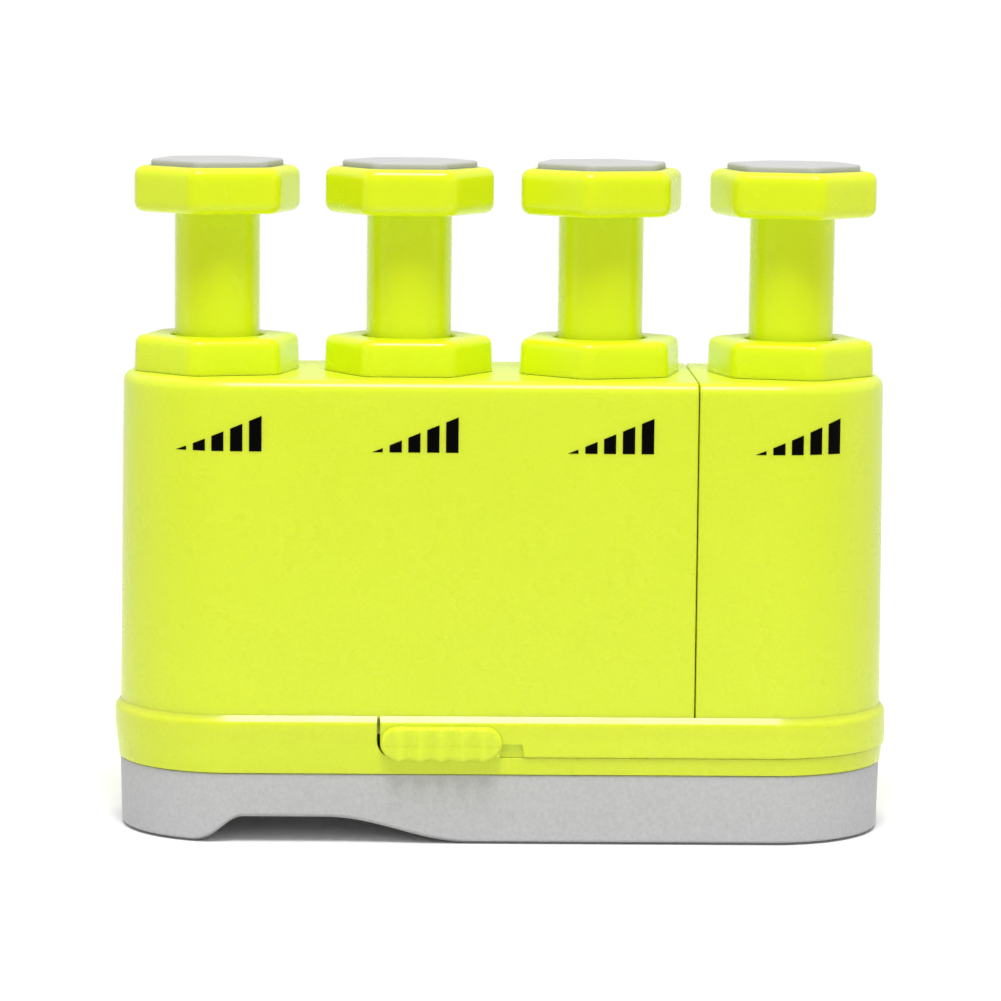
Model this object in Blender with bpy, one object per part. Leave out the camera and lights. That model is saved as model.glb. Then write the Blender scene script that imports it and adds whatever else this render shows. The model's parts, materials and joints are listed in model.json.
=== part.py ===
"""Finger exerciser: four sprung plungers in a two-block housing on a soft palm grip.

World frame, in metres: +Z up, -Y is the front with the lock slider, +X runs towards the block
that slides out. The origin is on the underside of the palm grip, midway along the closed body.
"""
import math

import bmesh
import bpy
from mathutils import Vector

# Fits ---------------------------------------------------------------------------------------
running_gap = 0.0003        # between two pieces that rest on or slide along each other
screw_gap = 0.0002          # round a screw in its hole

# Plan of the body: a stadium, straight sides with half-round ends ------------------------------
cell_count = 4
cell_pitch = 0.02333        # from one plunger's axis to the next: a finger's width
end_margin = 0.0124         # from the outermost axis to the band's end
band_half_depth = 0.0149
band_ledge = 0.0007         # how far the band stands out from the foot of the housing
grip_step = 0.00065         # how far the grip stands back under the band
body_draft = math.radians(0.5)
seam_offset = 0.0003        # of the seam from the middle between the last two cells, towards the third
seam_corner = 0.0003        # rounding of the upright edges at the seam
seam_top_round = 0.0003

# Heights --------------------------------------------------------------------------------------
grip_height = 0.0085
grip_edge_round = 0.0010
grip_taper = 0.0002
tray_floor = 0.0016
drawer_floor = 0.0019
shoulder_height = 0.0004    # ledge inside the band that the housings stand on, above the floor
band_top = 0.0155
band_lip = 0.0005           # thickness of the band above that ledge
band_wall = 0.0017
band_undercut = 0.0005      # how far the fixed band leans in towards the grip
band_straight = 0.0025      # upright part of the band's face, above the part that leans
band_edge_round = 0.0004
housing_top = 0.0557
housing_wall = 0.0018
housing_top_round = 0.0016

# Palm arch under the grip ------------------------------------------------------------------------
arch_height = 0.0031
arch_from_end = 0.0101      # from the band's left end to the foot of the rise
arch_rise_length = 0.0055
arch_crown_length = 0.0103
arch_fall_length = 0.0180
arch_lead_in = 0.00015      # the arch starts this far below the sole, so its ends stay crisp

# Extension: drawer, its lock and its stop ----------------------------------------------------------
drawer_reach = 0.0380       # of the drawer past the seam, back to the slit in the band
slit_corner = 0.0017
extension_travel = 0.020
tongue_half_width = 0.0065
tongue_end_web = 0.0035
tongue_relief = 0.0001
pillar_radius = 0.0028
lock_travel = 0.0024
lock_length = 0.01465
lock_height = 0.0040
lock_from_slit = 0.0002
lock_foot_z = 0.0105
lock_thickness = 0.0009
lock_edge_round = 0.0004
lock_ridge_count = 5
lock_ridge_pitch = 0.00253
lock_ridge_radius = 0.0006
lock_ridge_proud = 0.00032
lock_ridge_short = 0.0005
stem_height = 0.0012
stem_depth = 0.0005
stem_inset = 0.0026         # from the pad's left end to the stem
notch_height = 0.00166

# One plunger cell -----------------------------------------------------------------------------------
cell_yaws = (16.0, 0.0, 18.0, -15.4)   # degrees: how far each plunger stands turned
hex_apothem = 0.00915
hex_corner = 0.0020
head_height = 0.00545
head_edge_round = 0.0010
collar_height = 0.0043
collar_edge_round = 0.0008  # round its top; its lower edge is sharp
collar_draft = 0.0001       # lean of its sides, from the seat up
exposed_shaft = 0.01505
shaft_radius = 0.00515
collar_hole_radius = 0.00575
plunger_travel = 0.0140
flange_apothem = 0.0054
flange_corner = 0.0006
flange_height = 0.0030
flange_depth = 0.0119       # from the collar's seat down to the flange's top
spring_bore_radius = 0.0041
spring_bore_depth = 0.0110  # above the flange
sleeve_radius = 0.0079
thread_bore_radius = 0.0068
ring_groove_depth = 0.0006
retaining_ring_height = 0.0010
retaining_ring_radius = 0.0093
retaining_ring_opening = math.radians(36)
pad_apothem = 0.0073
pad_corner = 0.0015
pad_recess = 0.0008
pad_proud = 0.00095
pad_edge_round = 0.0003
pad_dome = 0.0002

# Tension adjuster inside each cell ---------------------------------------------------------------------
carrier_thickness = 0.0016
guide_ring_height = 0.0028
guide_ring_wall = 0.0010
key_post_apothem = 0.0021
key_post_corner = 0.0003
key_post_spare = 0.0054     # of the post above the highest seat, where it still guides the spring
seat_lift = 0.0010          # of the spring seat above the sleeve's foot at its lowest setting
seat_height = 0.0025
seat_radius = 0.0064
seat_rise = 0.0060          # over the whole of the adjuster's turn
spring_wire = 0.0009
spring_turns = 8
spring_side_gap = 0.0002

# Screws ---------------------------------------------------------------------------------------------------
screw_head_radius = 0.0020
screw_head_rim = 0.0002
screw_shank_radius = 0.0010
screw_tip_cover = 0.0005
left_screw_set_out = 0.0030 # beyond the first plunger's axis
left_screw_y = 0.0065
extension_screw_spread = 0.0065

# Facets --------------------------------------------------------------------------------------------------
end_steps = 12              # along a half-round end
ring_points = 24            # round a plunger: four to each side of the hexagon
fillet_steps = 3
spring_steps = 8            # per turn
wire_sides = 5
cut_margin = 0.0020         # how far a cutter passes the faces it cuts

# Worked-out places -----------------------------------------------------------------------------------------
cell_x = [(index - (cell_count - 1) / 2) * cell_pitch for index in range(cell_count)]
band_half_length = cell_x[-1] + end_margin
end_centre_x = band_half_length - band_half_depth
body_half_depth = band_half_depth - band_ledge
grip_half_depth = band_half_depth - grip_step
split_x = (cell_x[-2] + cell_x[-1]) / 2 - seam_offset
slit_x = split_x - drawer_reach
lock_left_x = slit_x + lock_from_slit
left_screw_x = cell_x[0] - left_screw_set_out
stop_screw_x = (cell_x[1] + cell_x[2]) / 2
arch_left = arch_from_end - band_half_length
arch_crown_left = arch_left + arch_rise_length
arch_crown_right = arch_crown_left + arch_crown_length
arch_right = arch_crown_right + arch_fall_length
tray_bottom = grip_height + running_gap
tray_floor_top = tray_bottom + tray_floor
drawer_bottom = tray_floor_top + running_gap
drawer_floor_top = drawer_bottom + drawer_floor
shoulder_z = drawer_floor_top + shoulder_height
skirt_z = shoulder_z + running_gap
carrier_bottom = drawer_floor_top + running_gap
carrier_top = carrier_bottom + carrier_thickness
collar_seat = housing_top + running_gap
collar_top = collar_seat + collar_height
head_bottom = collar_top + exposed_shaft
head_top = head_bottom + head_height
pad_floor = head_top - pad_recess
flange_top = collar_seat - flange_depth
flange_bottom = flange_top - flange_height
sleeve_stop = flange_top + running_gap
sleeve_foot = carrier_top + running_gap
key_bore_foot = flange_bottom - plunger_travel - running_gap
bore_ceiling = flange_top + spring_bore_depth
seat_bottom = sleeve_foot + seat_lift
seat_top = seat_bottom + seat_height
key_post_top = seat_top + seat_rise + key_post_spare
groove_bottom = housing_top - housing_wall - 2 * running_gap - retaining_ring_height
groove_top = housing_top - housing_wall
spring_radius = spring_bore_radius - spring_side_gap - spring_wire / 2
lock_face_y = -(band_half_depth + running_gap)
notch_left = lock_left_x + stem_inset - running_gap
notch_right = lock_left_x + lock_length - running_gap + lock_travel + running_gap
stem_right = lock_left_x + lock_length - running_gap
notch_top = drawer_bottom + notch_height
slot_half_width = pillar_radius + running_gap
tongue_left = stop_screw_x - extension_travel - slot_half_width - tongue_end_web


def clear_scene():
    for item in list(bpy.data.objects):
        bpy.data.objects.remove(item, do_unlink=True)


# Materials ----------------------------------------------------------------------------------------------------
def linear(channel):
    """The light value of a screen colour channel given from 0 to 255."""
    value = channel / 255
    return value / 12.92 if value <= 0.04045 else ((value + 0.055) / 1.055) ** 2.4


def make_material(name, screen_colour, roughness, metallic=0.0):
    material = bpy.data.materials.new(name)
    material.use_nodes = True
    shader = material.node_tree.nodes["Principled BSDF"]
    shader.inputs["Base Color"].default_value = (*[linear(channel) for channel in screen_colour], 1)
    shader.inputs["Roughness"].default_value = roughness
    shader.inputs["Metallic"].default_value = metallic
    return material


# Outlines: each gives one closed ring of points -----------------------------------------------------------------
def arc(centre_x, centre_y, radius, start, end, steps):
    angles = [start + (end - start) * step / steps for step in range(steps + 1)]
    return [(centre_x + radius * math.cos(angle), centre_y + radius * math.sin(angle)) for angle in angles]


def at_height(outline, z):
    return [Vector((x, y, z)) for x, y in outline]


def stadium(half_depth, z):
    """Both ends round."""
    quarter = math.pi / 2
    right = arc(end_centre_x, 0, half_depth, -quarter, quarter, end_steps)
    left = arc(-end_centre_x, 0, half_depth, quarter, 3 * quarter, end_steps)
    return at_height(right + left, z)


def block(face_x, side, half_depth, z, corner=0.0):
    """One flat end at face_x and one round end, on the side +1 or -1 of it."""
    quarter = math.pi / 2
    flat = side * face_x
    if corner > 0:
        front = arc(flat + corner, corner - half_depth, corner, 2 * quarter, 3 * quarter, 2)
        back = arc(flat + corner, half_depth - corner, corner, quarter, 2 * quarter, 2)
    else:
        front = [(flat, -half_depth)]
        back = [(flat, half_depth)]
    end = arc(end_centre_x, 0, half_depth, -quarter, quarter, end_steps)
    return at_height([(side * x, y) for x, y in front + end + back], z)


def circle(radius, z, centre=(0.0, 0.0), count=ring_points):
    """The second point lies on +X, as the second point of a hexagon does."""
    angles = [2 * math.pi * (step - 1) / count for step in range(count)]
    return [Vector((centre[0] + radius * math.cos(a), centre[1] + radius * math.sin(a), z)) for a in angles]


def hexagon(apothem, corner, z, centre=(0.0, 0.0)):
    """Rounded corners, the first on +X: three points to a corner and one in the middle of each flat."""
    corner_distance = (apothem - corner) / math.cos(math.pi / 6)
    points = []
    for index in range(6):
        direction = index * math.pi / 3
        hub = (centre[0] + corner_distance * math.cos(direction), centre[1] + corner_distance * math.sin(direction))
        points += arc(*hub, corner, direction - math.pi / 6, direction + math.pi / 6, 2)
        flat = direction + math.pi / 6
        points.append((centre[0] + apothem * math.cos(flat), centre[1] + apothem * math.sin(flat)))
    return at_height(points, z)


def rounding(radius, steps=fillet_steps):
    """Inset and drop of a rounded edge, from the upright face to the flat one."""
    quarters = [math.pi / 2 * step / steps for step in range(1, steps + 1)]
    return [(radius * (1 - math.cos(angle)), radius * (1 - math.sin(angle))) for angle in quarters]


# Solids ------------------------------------------------------------------------------------------------------------
def grow(bm, ring, points):
    """Extrude the open edge of a skin and carry the new edge to the next ring of points."""
    count = len(ring)
    edges = [bm.edges.get((ring[index], ring[(index + 1) % count])) for index in range(count)]
    made = bmesh.ops.extrude_edge_only(bm, edges=edges)["geom"]
    fresh = {item for item in made if isinstance(item, bmesh.types.BMVert)}
    following = []
    for vert, point in zip(ring, points):
        partner = next(edge.other_vert(vert) for edge in vert.link_edges if edge.other_vert(vert) in fresh)
        partner.co = point
        following.append(partner)
    return following


def add_loft(bm, rings, through=False):
    """A skin through rings of equally many points, capped at both ends or, for a hole, joined end to end."""
    start = [bm.verts.new(point) for point in rings[0]]
    for index, vert in enumerate(start):
        bm.edges.new((start[index - 1], vert))
    ring = start
    for points in rings[1:]:
        ring = grow(bm, ring, points)
    if through:
        bmesh.ops.weld_verts(bm, targetmap=dict(zip(ring, start)))
    else:
        bm.faces.new(start)
        bm.faces.new(ring)


def make_mesh(name, lofts, bevel=None):
    """Several lofts in one mesh. A loft is a list of rings, or a pair of that list and True for a hole."""
    bm = bmesh.new()
    for loft in lofts:
        if isinstance(loft, tuple):
            add_loft(bm, *loft)
        else:
            add_loft(bm, loft)
    bmesh.ops.recalc_face_normals(bm, faces=bm.faces)
    if bevel:
        bevel(bm)
    mesh = bpy.data.meshes.new(name)
    bm.to_mesh(mesh)
    bm.free()
    mesh.shade_smooth()
    mesh.set_sharp_from_angle(angle=math.radians(28))
    return mesh


def place(name, mesh, material, parent=None):
    item = bpy.data.objects.new(name, mesh)
    bpy.context.scene.collection.objects.link(item)
    item.parent = parent
    if material and not mesh.materials:
        mesh.materials.append(material)
    return item


def make_axis(name, location=(0, 0, 0), yaw=0.0, parent=None):
    """An empty on the axis that its pieces move about or along."""
    axis = bpy.data.objects.new(name, None)
    bpy.context.scene.collection.objects.link(axis)
    axis.location = location
    axis.rotation_euler = (0, 0, yaw)
    axis.parent = parent
    axis.empty_display_size = 0.005
    return axis


def combine(item, name, mesh, operation):
    """Cut a tool shape out of a piece, or add it."""
    tool = place(name, mesh, None, item)
    tool.hide_render = True
    tool.display_type = "WIRE"
    modifier = item.modifiers.new(name, "BOOLEAN")
    modifier.operation = operation
    modifier.solver = "EXACT"
    modifier.object = tool


def across(profile, y_front, y_back):
    """Rings of a profile in X and Z that runs from front to back."""
    return [[Vector((x, y, z)) for x, z in profile] for y in (y_front, y_back)]


def box_profile(left, right, bottom, top):
    return [(left, bottom), (right, bottom), (right, top), (left, top)]


# Soft base ------------------------------------------------------------------------------------------------------------
def arch_profile():
    """Rises in an S on the left, runs level and falls in a longer S on the right."""
    rise = arch_height + arch_lead_in
    steps = 8
    profile = [(arch_left, -cut_margin)]
    for start, end in ((arch_left, arch_crown_left), (arch_right, arch_crown_right)):
        slope = []
        for step in range(steps + 1):
            share = step / steps
            height = rise * (1 - math.cos(math.pi * share)) / 2 - arch_lead_in
            slope.append((start + (end - start) * share, height))
        profile += slope if start == arch_left else slope[::-1]
    return profile + [(arch_right, -cut_margin)]


def make_palm_grip(material, root):
    straight = grip_half_depth - grip_taper
    rings = [stadium(straight - inset, drop) for inset, drop in reversed(rounding(grip_edge_round))]
    rings.append(stadium(straight, grip_edge_round))
    rings.append(stadium(grip_half_depth, grip_height))
    grip = place("palm_grip", make_mesh("palm_grip", [rings]), material, root)
    reach = grip_half_depth + cut_margin
    combine(grip, "arch_tool", make_mesh("arch_tool", [across(arch_profile(), -reach, reach)]), "DIFFERENCE")


# Screws and the holes they pass -------------------------------------------------------------------------------------------
def screw_rings(centre, foot, tip, clearance=0.0):
    cone = screw_head_radius - screw_shank_radius
    rim = foot + screw_head_rim
    start = foot - cut_margin if clearance else foot
    return [circle(screw_head_radius + clearance, start, centre, 10),
            circle(screw_head_radius + clearance, rim, centre, 10),
            circle(screw_shank_radius + clearance, rim + cone, centre, 10),
            circle(screw_shank_radius + clearance, tip, centre, 10)]


def housing_screw_places():
    return [(left_screw_x, -left_screw_y), (left_screw_x, left_screw_y), (stop_screw_x, 0.0)]


def extension_screw_places():
    centre = cell_x[-1]
    return [(centre - extension_screw_spread, 0.0), (centre + extension_screw_spread, 0.0)]


def make_screws(name, places, foot, material, parent):
    tip = carrier_top - screw_tip_cover
    for index, spot in enumerate(places):
        place(f"{name}_{index + 1}", make_mesh(name, [screw_rings(spot, foot, tip)]), material, parent)


# Fixed tray with the left part of the band ---------------------------------------------------------------------------------
def opening_profile():
    """Room for the drawer, with a rounded lower left corner under the lock slider."""
    left = slit_x - running_gap / 2
    corner = slit_corner + running_gap / 2
    far = end_centre_x + band_half_depth + cut_margin
    hub = (left + corner, tray_floor_top + corner)
    lower = arc(*hub, corner, math.pi, 1.5 * math.pi, 4)
    return lower + [(far, tray_floor_top), (far, band_top + cut_margin), (left, band_top + cut_margin)]


def make_base_tray(material, root):
    edge = band_edge_round
    lean = band_top - band_straight
    rings = [stadium(band_half_depth - band_undercut, tray_bottom), stadium(band_half_depth, lean),
             stadium(band_half_depth, band_top - edge)]
    rings += [stadium(band_half_depth - inset, band_top - drop) for inset, drop in rounding(edge, 2)]
    tray = place("base_tray", make_mesh("base_tray", [rings]), material, root)
    ledge = band_half_depth - band_wall
    lip = band_half_depth - band_lip
    pocket = [stadium(ledge, tray_floor_top), stadium(ledge, shoulder_z),
              stadium(lip, shoulder_z), stadium(lip, band_top + cut_margin)]
    combine(tray, "tray_pocket_tool", make_mesh("tray_pocket_tool", [pocket]), "DIFFERENCE")
    reach = band_half_depth + cut_margin
    room = across(opening_profile(), -reach, reach)
    combine(tray, "drawer_room_tool", make_mesh("drawer_room_tool", [room]), "DIFFERENCE")
    over = tray_floor_top + cut_margin
    holes = [screw_rings(spot, tray_bottom, over, screw_gap) for spot in housing_screw_places()]
    combine(tray, "tray_hole_tool", make_mesh("tray_hole_tool", holes), "DIFFERENCE")


# Housing blocks ------------------------------------------------------------------------------------------------------------------
def body_depth(z):
    return body_half_depth - (z - skirt_z) * math.tan(body_draft)


def housing_rings(face_x, side):
    """Inner ceiling, down the inside, round the foot, up the outside and over the rounded top edge."""
    ceiling = housing_top - housing_wall
    shoulder = housing_top - housing_top_round
    inner_face = face_x + side * housing_wall
    rings = [block(inner_face, side, body_depth(ceiling) - housing_wall, ceiling, seam_corner),
             block(inner_face, side, body_depth(skirt_z) - housing_wall, skirt_z, seam_corner),
             block(face_x, side, body_depth(skirt_z), skirt_z, seam_corner),
             block(face_x, side, body_depth(shoulder), shoulder, seam_corner)]
    for (inset, drop), (seam_inset, _) in zip(rounding(housing_top_round), rounding(seam_top_round)):
        face = face_x + side * seam_inset
        rings.append(block(face, side, body_depth(shoulder) - inset, housing_top - drop, seam_corner))
    return rings


def make_housing(name, face_x, side, cells, material, parent):
    housing = place(name, make_mesh(name, [housing_rings(face_x, side)]), material, parent)
    low = housing_top - housing_wall - cut_margin
    high = housing_top + cut_margin
    radius = sleeve_radius + running_gap
    holes = [[circle(radius, low, (x, 0)), circle(radius, high, (x, 0))] for x in cells]
    combine(housing, name + "_hole_tool", make_mesh(name + "_hole_tool", holes), "DIFFERENCE")


# Drawer that carries the sliding block -------------------------------------------------------------------------------------------------
def round_slit_corner(bm):
    """Round the lower edge of the drawer's flat end, over the lock slider's notch in the tray."""
    left = slit_x + running_gap / 2
    foot = [edge for edge in bm.edges
            if all(abs(v.co.x - left) < 1e-6 and abs(v.co.z - drawer_bottom) < 1e-6 for v in edge.verts)]
    bmesh.ops.bevel(bm, geom=foot, offset=slit_corner, offset_type="OFFSET", segments=4, profile=0.5,
                    affect="EDGES", material=-1, clamp_overlap=False)


def make_drawer(material, parent):
    left = slit_x + running_gap / 2
    edge = band_edge_round
    rings = [block(left, 1, band_half_depth, z) for z in (drawer_bottom, band_top - edge)]
    rings += [block(left, 1, band_half_depth - inset, band_top - drop) for inset, drop in rounding(edge, 2)]
    mesh = make_mesh("extension_drawer", [rings], round_slit_corner)
    drawer = place("extension_drawer", mesh, material, parent)
    open_end = left - cut_margin
    ledge = band_half_depth - band_wall
    lip = band_half_depth - band_lip
    pocket = [block(open_end, 1, ledge, drawer_floor_top), block(open_end, 1, ledge, shoulder_z),
              block(open_end, 1, lip, shoulder_z), block(open_end, 1, lip, band_top + cut_margin)]
    combine(drawer, "drawer_pocket_tool", make_mesh("drawer_pocket_tool", [pocket]), "DIFFERENCE")
    tongue = across(box_profile(tongue_left, left + slit_corner + cut_margin,
                                drawer_bottom + tongue_relief, drawer_floor_top - tongue_relief),
                    -tongue_half_width, tongue_half_width)
    combine(drawer, "tongue_tool", make_mesh("tongue_tool", [tongue]), "UNION")
    quarter = math.pi / 2
    slot_left = stop_screw_x - extension_travel
    slot = (arc(stop_screw_x, 0, slot_half_width, -quarter, quarter, 8)
            + arc(slot_left, 0, slot_half_width, quarter, 3 * quarter, 8))
    slot_rings = [at_height(slot, z) for z in (drawer_bottom - cut_margin, drawer_floor_top + cut_margin)]
    combine(drawer, "stop_slot_tool", make_mesh("stop_slot_tool", [slot_rings]), "DIFFERENCE")
    notch = across(box_profile(notch_left, notch_right, drawer_bottom - cut_margin, notch_top),
                   -band_half_depth - cut_margin, -band_half_depth + stem_depth + running_gap)
    combine(drawer, "lock_notch_tool", make_mesh("lock_notch_tool", [notch]), "DIFFERENCE")
    over = drawer_floor_top + cut_margin
    holes = [screw_rings(spot, drawer_bottom, over, screw_gap) for spot in extension_screw_places()]
    combine(drawer, "drawer_hole_tool", make_mesh("drawer_hole_tool", holes), "DIFFERENCE")


# Lock slider --------------------------------------------------------------------------------------------------------------------------------
def pad_outline(inset, y):
    """A lying stadium seen from the front."""
    radius = lock_height / 2 - inset
    middle_z = lock_foot_z + lock_height / 2
    near = lock_left_x + lock_height / 2
    far = lock_left_x + lock_length - lock_height / 2
    quarter = math.pi / 2
    outline = (arc(far, middle_z, radius, -quarter, quarter, 6)
               + arc(near, middle_z, radius, quarter, 3 * quarter, 6))
    return [Vector((x, y, z)) for x, z in outline]


def make_lock_slider(material, parent):
    front = lock_face_y - lock_thickness
    rings = [pad_outline(0, lock_face_y), pad_outline(0, front + lock_edge_round)]
    rings += [pad_outline(inset, front + drop) for inset, drop in rounding(lock_edge_round, 2)]
    slider = place("lock_slider", make_mesh("lock_slider", [rings]), material, parent)
    middle_x = lock_left_x + lock_length / 2
    low = lock_foot_z + lock_ridge_short / 2
    high = low + lock_height - lock_ridge_short
    hub_y = front + lock_ridge_radius - lock_ridge_proud
    ridges = []
    for index in range(lock_ridge_count):
        x = middle_x + (index - (lock_ridge_count - 1) / 2) * lock_ridge_pitch
        ridges.append([circle(lock_ridge_radius, z, (x, hub_y), 10) for z in (low, high)])
    combine(slider, "ridge_tool", make_mesh("ridge_tool", ridges), "UNION")
    stem_foot = drawer_bottom + notch_height - running_gap - stem_height
    stem = across(box_profile(notch_left + running_gap, stem_right, stem_foot, stem_foot + stem_height),
                  lock_face_y - lock_thickness / 2, -band_half_depth + stem_depth)
    combine(slider, "stem_tool", make_mesh("stem_tool", [stem]), "UNION")


# Carriers: plates with the key posts and guide rings ---------------------------------------------------------------------------------------------
def make_carrier(name, face_x, side, cells, screw_places, pillar_foot, material, parent):
    inner_face = face_x + side * (housing_wall + running_gap)
    depth = body_depth(carrier_top) - housing_wall - running_gap
    plate = [block(inner_face, side, depth, z, seam_corner) for z in (carrier_bottom, carrier_top)]
    carrier = place(name, make_mesh(name, [plate]), material, parent)
    sunk = carrier_thickness / 2
    root_z = carrier_top - sunk
    ring_inner = sleeve_radius + running_gap
    ring_outer = ring_inner + guide_ring_wall
    fittings = []
    for x in cells:
        post = [hexagon(key_post_apothem, key_post_corner, z, (x, 0)) for z in (root_z, key_post_top)]
        tube = [circle(ring_outer, root_z, (x, 0)), circle(ring_outer, carrier_top + guide_ring_height, (x, 0)),
                circle(ring_inner, carrier_top + guide_ring_height, (x, 0)), circle(ring_inner, root_z, (x, 0)),
                circle(ring_outer, root_z, (x, 0))]
        fittings += [post, (tube, True)]
    fittings += [[circle(pillar_radius, z, spot, 16) for z in (pillar_foot, root_z)] for spot in screw_places]
    combine(carrier, name + "_fitting_tool", make_mesh(name + "_fitting_tool", fittings), "UNION")
    bore_top = carrier_top - screw_tip_cover + running_gap
    bore = screw_shank_radius + screw_gap
    holes = [[circle(bore, z, spot, 10) for z in (pillar_foot - cut_margin, bore_top)] for spot in screw_places]
    combine(carrier, name + "_bore_tool", make_mesh(name + "_bore_tool", holes), "DIFFERENCE")


# Plunger cell pieces, each about its own upright axis -------------------------------------------------------------------------------------------------
def hex_foot(apothem, corner, edge, bottom):
    """Rings of a hexagon's rounded lower edge, from below."""
    rounded = [hexagon(apothem - inset, corner - inset, bottom + drop) for inset, drop in rounding(edge, 2)]
    return rounded[::-1] + [hexagon(apothem, corner, bottom + edge)]


def hex_top(apothem, corner, edge, top):
    """Rings of a hexagon's rounded upper edge, from below."""
    rounded = [hexagon(apothem - inset, corner - inset, top - drop) for inset, drop in rounding(edge, 2)]
    return [hexagon(apothem, corner, top - edge)] + rounded


def piston_mesh():
    """A hollow shaft with its key flange at the foot and its hexagon head, recessed for the finger pad."""
    recess = pad_apothem + running_gap
    rings = [circle(spring_bore_radius, bore_ceiling), circle(spring_bore_radius, flange_bottom),
             hexagon(flange_apothem, flange_corner, flange_bottom), hexagon(flange_apothem, flange_corner, flange_top),
             circle(shaft_radius, flange_top), circle(shaft_radius, head_bottom)]
    rings += hex_foot(hex_apothem, hex_corner, head_edge_round, head_bottom)
    rings += hex_top(hex_apothem, hex_corner, head_edge_round, head_top)
    recess_corner = pad_corner + running_gap
    rings += [hexagon(recess, recess_corner, head_top), hexagon(recess, recess_corner, pad_floor)]
    return make_mesh("piston", [rings])


def collar_mesh():
    """The hexagon collar and its long sleeve: shaft hole, key bore for the flange, threaded bore for the seat."""
    key_apothem = flange_apothem + running_gap
    key_corner = flange_corner + running_gap
    groove_radius = sleeve_radius - ring_groove_depth
    rings = [circle(collar_hole_radius, collar_top), circle(collar_hole_radius, sleeve_stop),
             hexagon(key_apothem, key_corner, sleeve_stop), hexagon(key_apothem, key_corner, key_bore_foot),
             circle(thread_bore_radius, key_bore_foot), circle(thread_bore_radius, sleeve_foot),
             circle(sleeve_radius, sleeve_foot), circle(sleeve_radius, groove_bottom),
             circle(groove_radius, groove_bottom), circle(groove_radius, groove_top),
             circle(sleeve_radius, groove_top), circle(sleeve_radius, collar_seat)]
    rings.append(hexagon(hex_apothem, hex_corner, collar_seat))
    rings += hex_top(hex_apothem - collar_draft, hex_corner, collar_edge_round, collar_top)
    return make_mesh("tension_collar", [(rings + rings[:1], True)])


def pad_mesh():
    """A soft rounded hexagon, slightly crowned."""
    low = pad_floor + running_gap
    rim = head_top + pad_proud - pad_dome
    rings = [hexagon(pad_apothem, pad_corner, low), hexagon(pad_apothem, pad_corner, rim - pad_edge_round)]
    rings += [hexagon(pad_apothem - inset, pad_corner - inset, rim - drop) for inset, drop in rounding(pad_edge_round, 2)]
    rings.append(hexagon(pad_apothem / 2, pad_corner / 2, rim + pad_dome))
    return make_mesh("finger_pad", [rings])


def seat_mesh():
    """The threaded follower: a disc with a hexagon hole that keeps it from turning on the key post."""
    hole = key_post_apothem + running_gap
    corner = key_post_corner + running_gap
    rings = [circle(seat_radius, seat_bottom), circle(seat_radius, seat_top),
             hexagon(hole, corner, seat_top), hexagon(hole, corner, seat_bottom)]
    return make_mesh("spring_seat", [(rings + rings[:1], True)])


def retaining_ring_mesh():
    """An open ring that sits in the sleeve's groove, under the housing's top wall."""
    low = groove_bottom + running_gap
    high = low + retaining_ring_height
    inner = sleeve_radius - ring_groove_depth + running_gap
    steps = ring_points - 4
    sweep = 2 * math.pi - retaining_ring_opening
    rings = []
    for step in range(steps + 1):
        angle = retaining_ring_opening / 2 + sweep * step / steps
        out = Vector((math.cos(angle), math.sin(angle), 0))
        section = ((inner, low), (retaining_ring_radius, low), (retaining_ring_radius, high), (inner, high))
        rings.append([out * radius + Vector((0, 0, z)) for radius, z in section])
    return make_mesh("retaining_ring", [rings])


def spring_mesh():
    """A wound compression spring, close-coiled for one turn at each end."""
    low = seat_top + running_gap + spring_wire / 2
    high = bore_ceiling - running_gap - spring_wire / 2
    end_rise = spring_wire * 1.15
    open_turns = spring_turns - 2
    open_rise = (high - low - 2 * end_rise) / open_turns
    rings = []
    for step in range(spring_turns * spring_steps + 1):
        turn = step / spring_steps
        closed = min(turn, 1) + max(turn - open_turns - 1, 0)
        z = low + closed * end_rise + (turn - closed) * open_rise
        angle = 2 * math.pi * turn
        out = Vector((math.cos(angle), math.sin(angle), 0))
        hub = out * spring_radius + Vector((0, 0, z))
        around = [2 * math.pi * side / wire_sides for side in range(wire_sides)]
        rings.append([hub + (out * math.cos(a) + Vector((0, 0, math.sin(a)))) * spring_wire / 2 for a in around])
    return make_mesh("spring", [rings])


def make_cells(materials, root, extension):
    lime, grey, steel, inner = materials
    pieces = (("piston", piston_mesh(), lime), ("finger_pad", pad_mesh(), grey),
              ("tension_collar", collar_mesh(), lime), ("retaining_ring", retaining_ring_mesh(), steel))
    fixed_pieces = (("spring_seat", seat_mesh(), inner), ("spring", spring_mesh(), steel))
    for index, x in enumerate(cell_x):
        number = str(index + 1)
        carrier = extension if x > split_x else root
        fixed = make_axis("cell_" + number, (x, 0, 0), 0.0, carrier)
        turned = make_axis("plunger_axis_" + number, (0, 0, 0), math.radians(cell_yaws[index]), fixed)
        for name, mesh, material in pieces:
            place(name + "_" + number, mesh, material, turned)
        for name, mesh, material in fixed_pieces:
            place(name + "_" + number, mesh, material, fixed)


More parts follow.
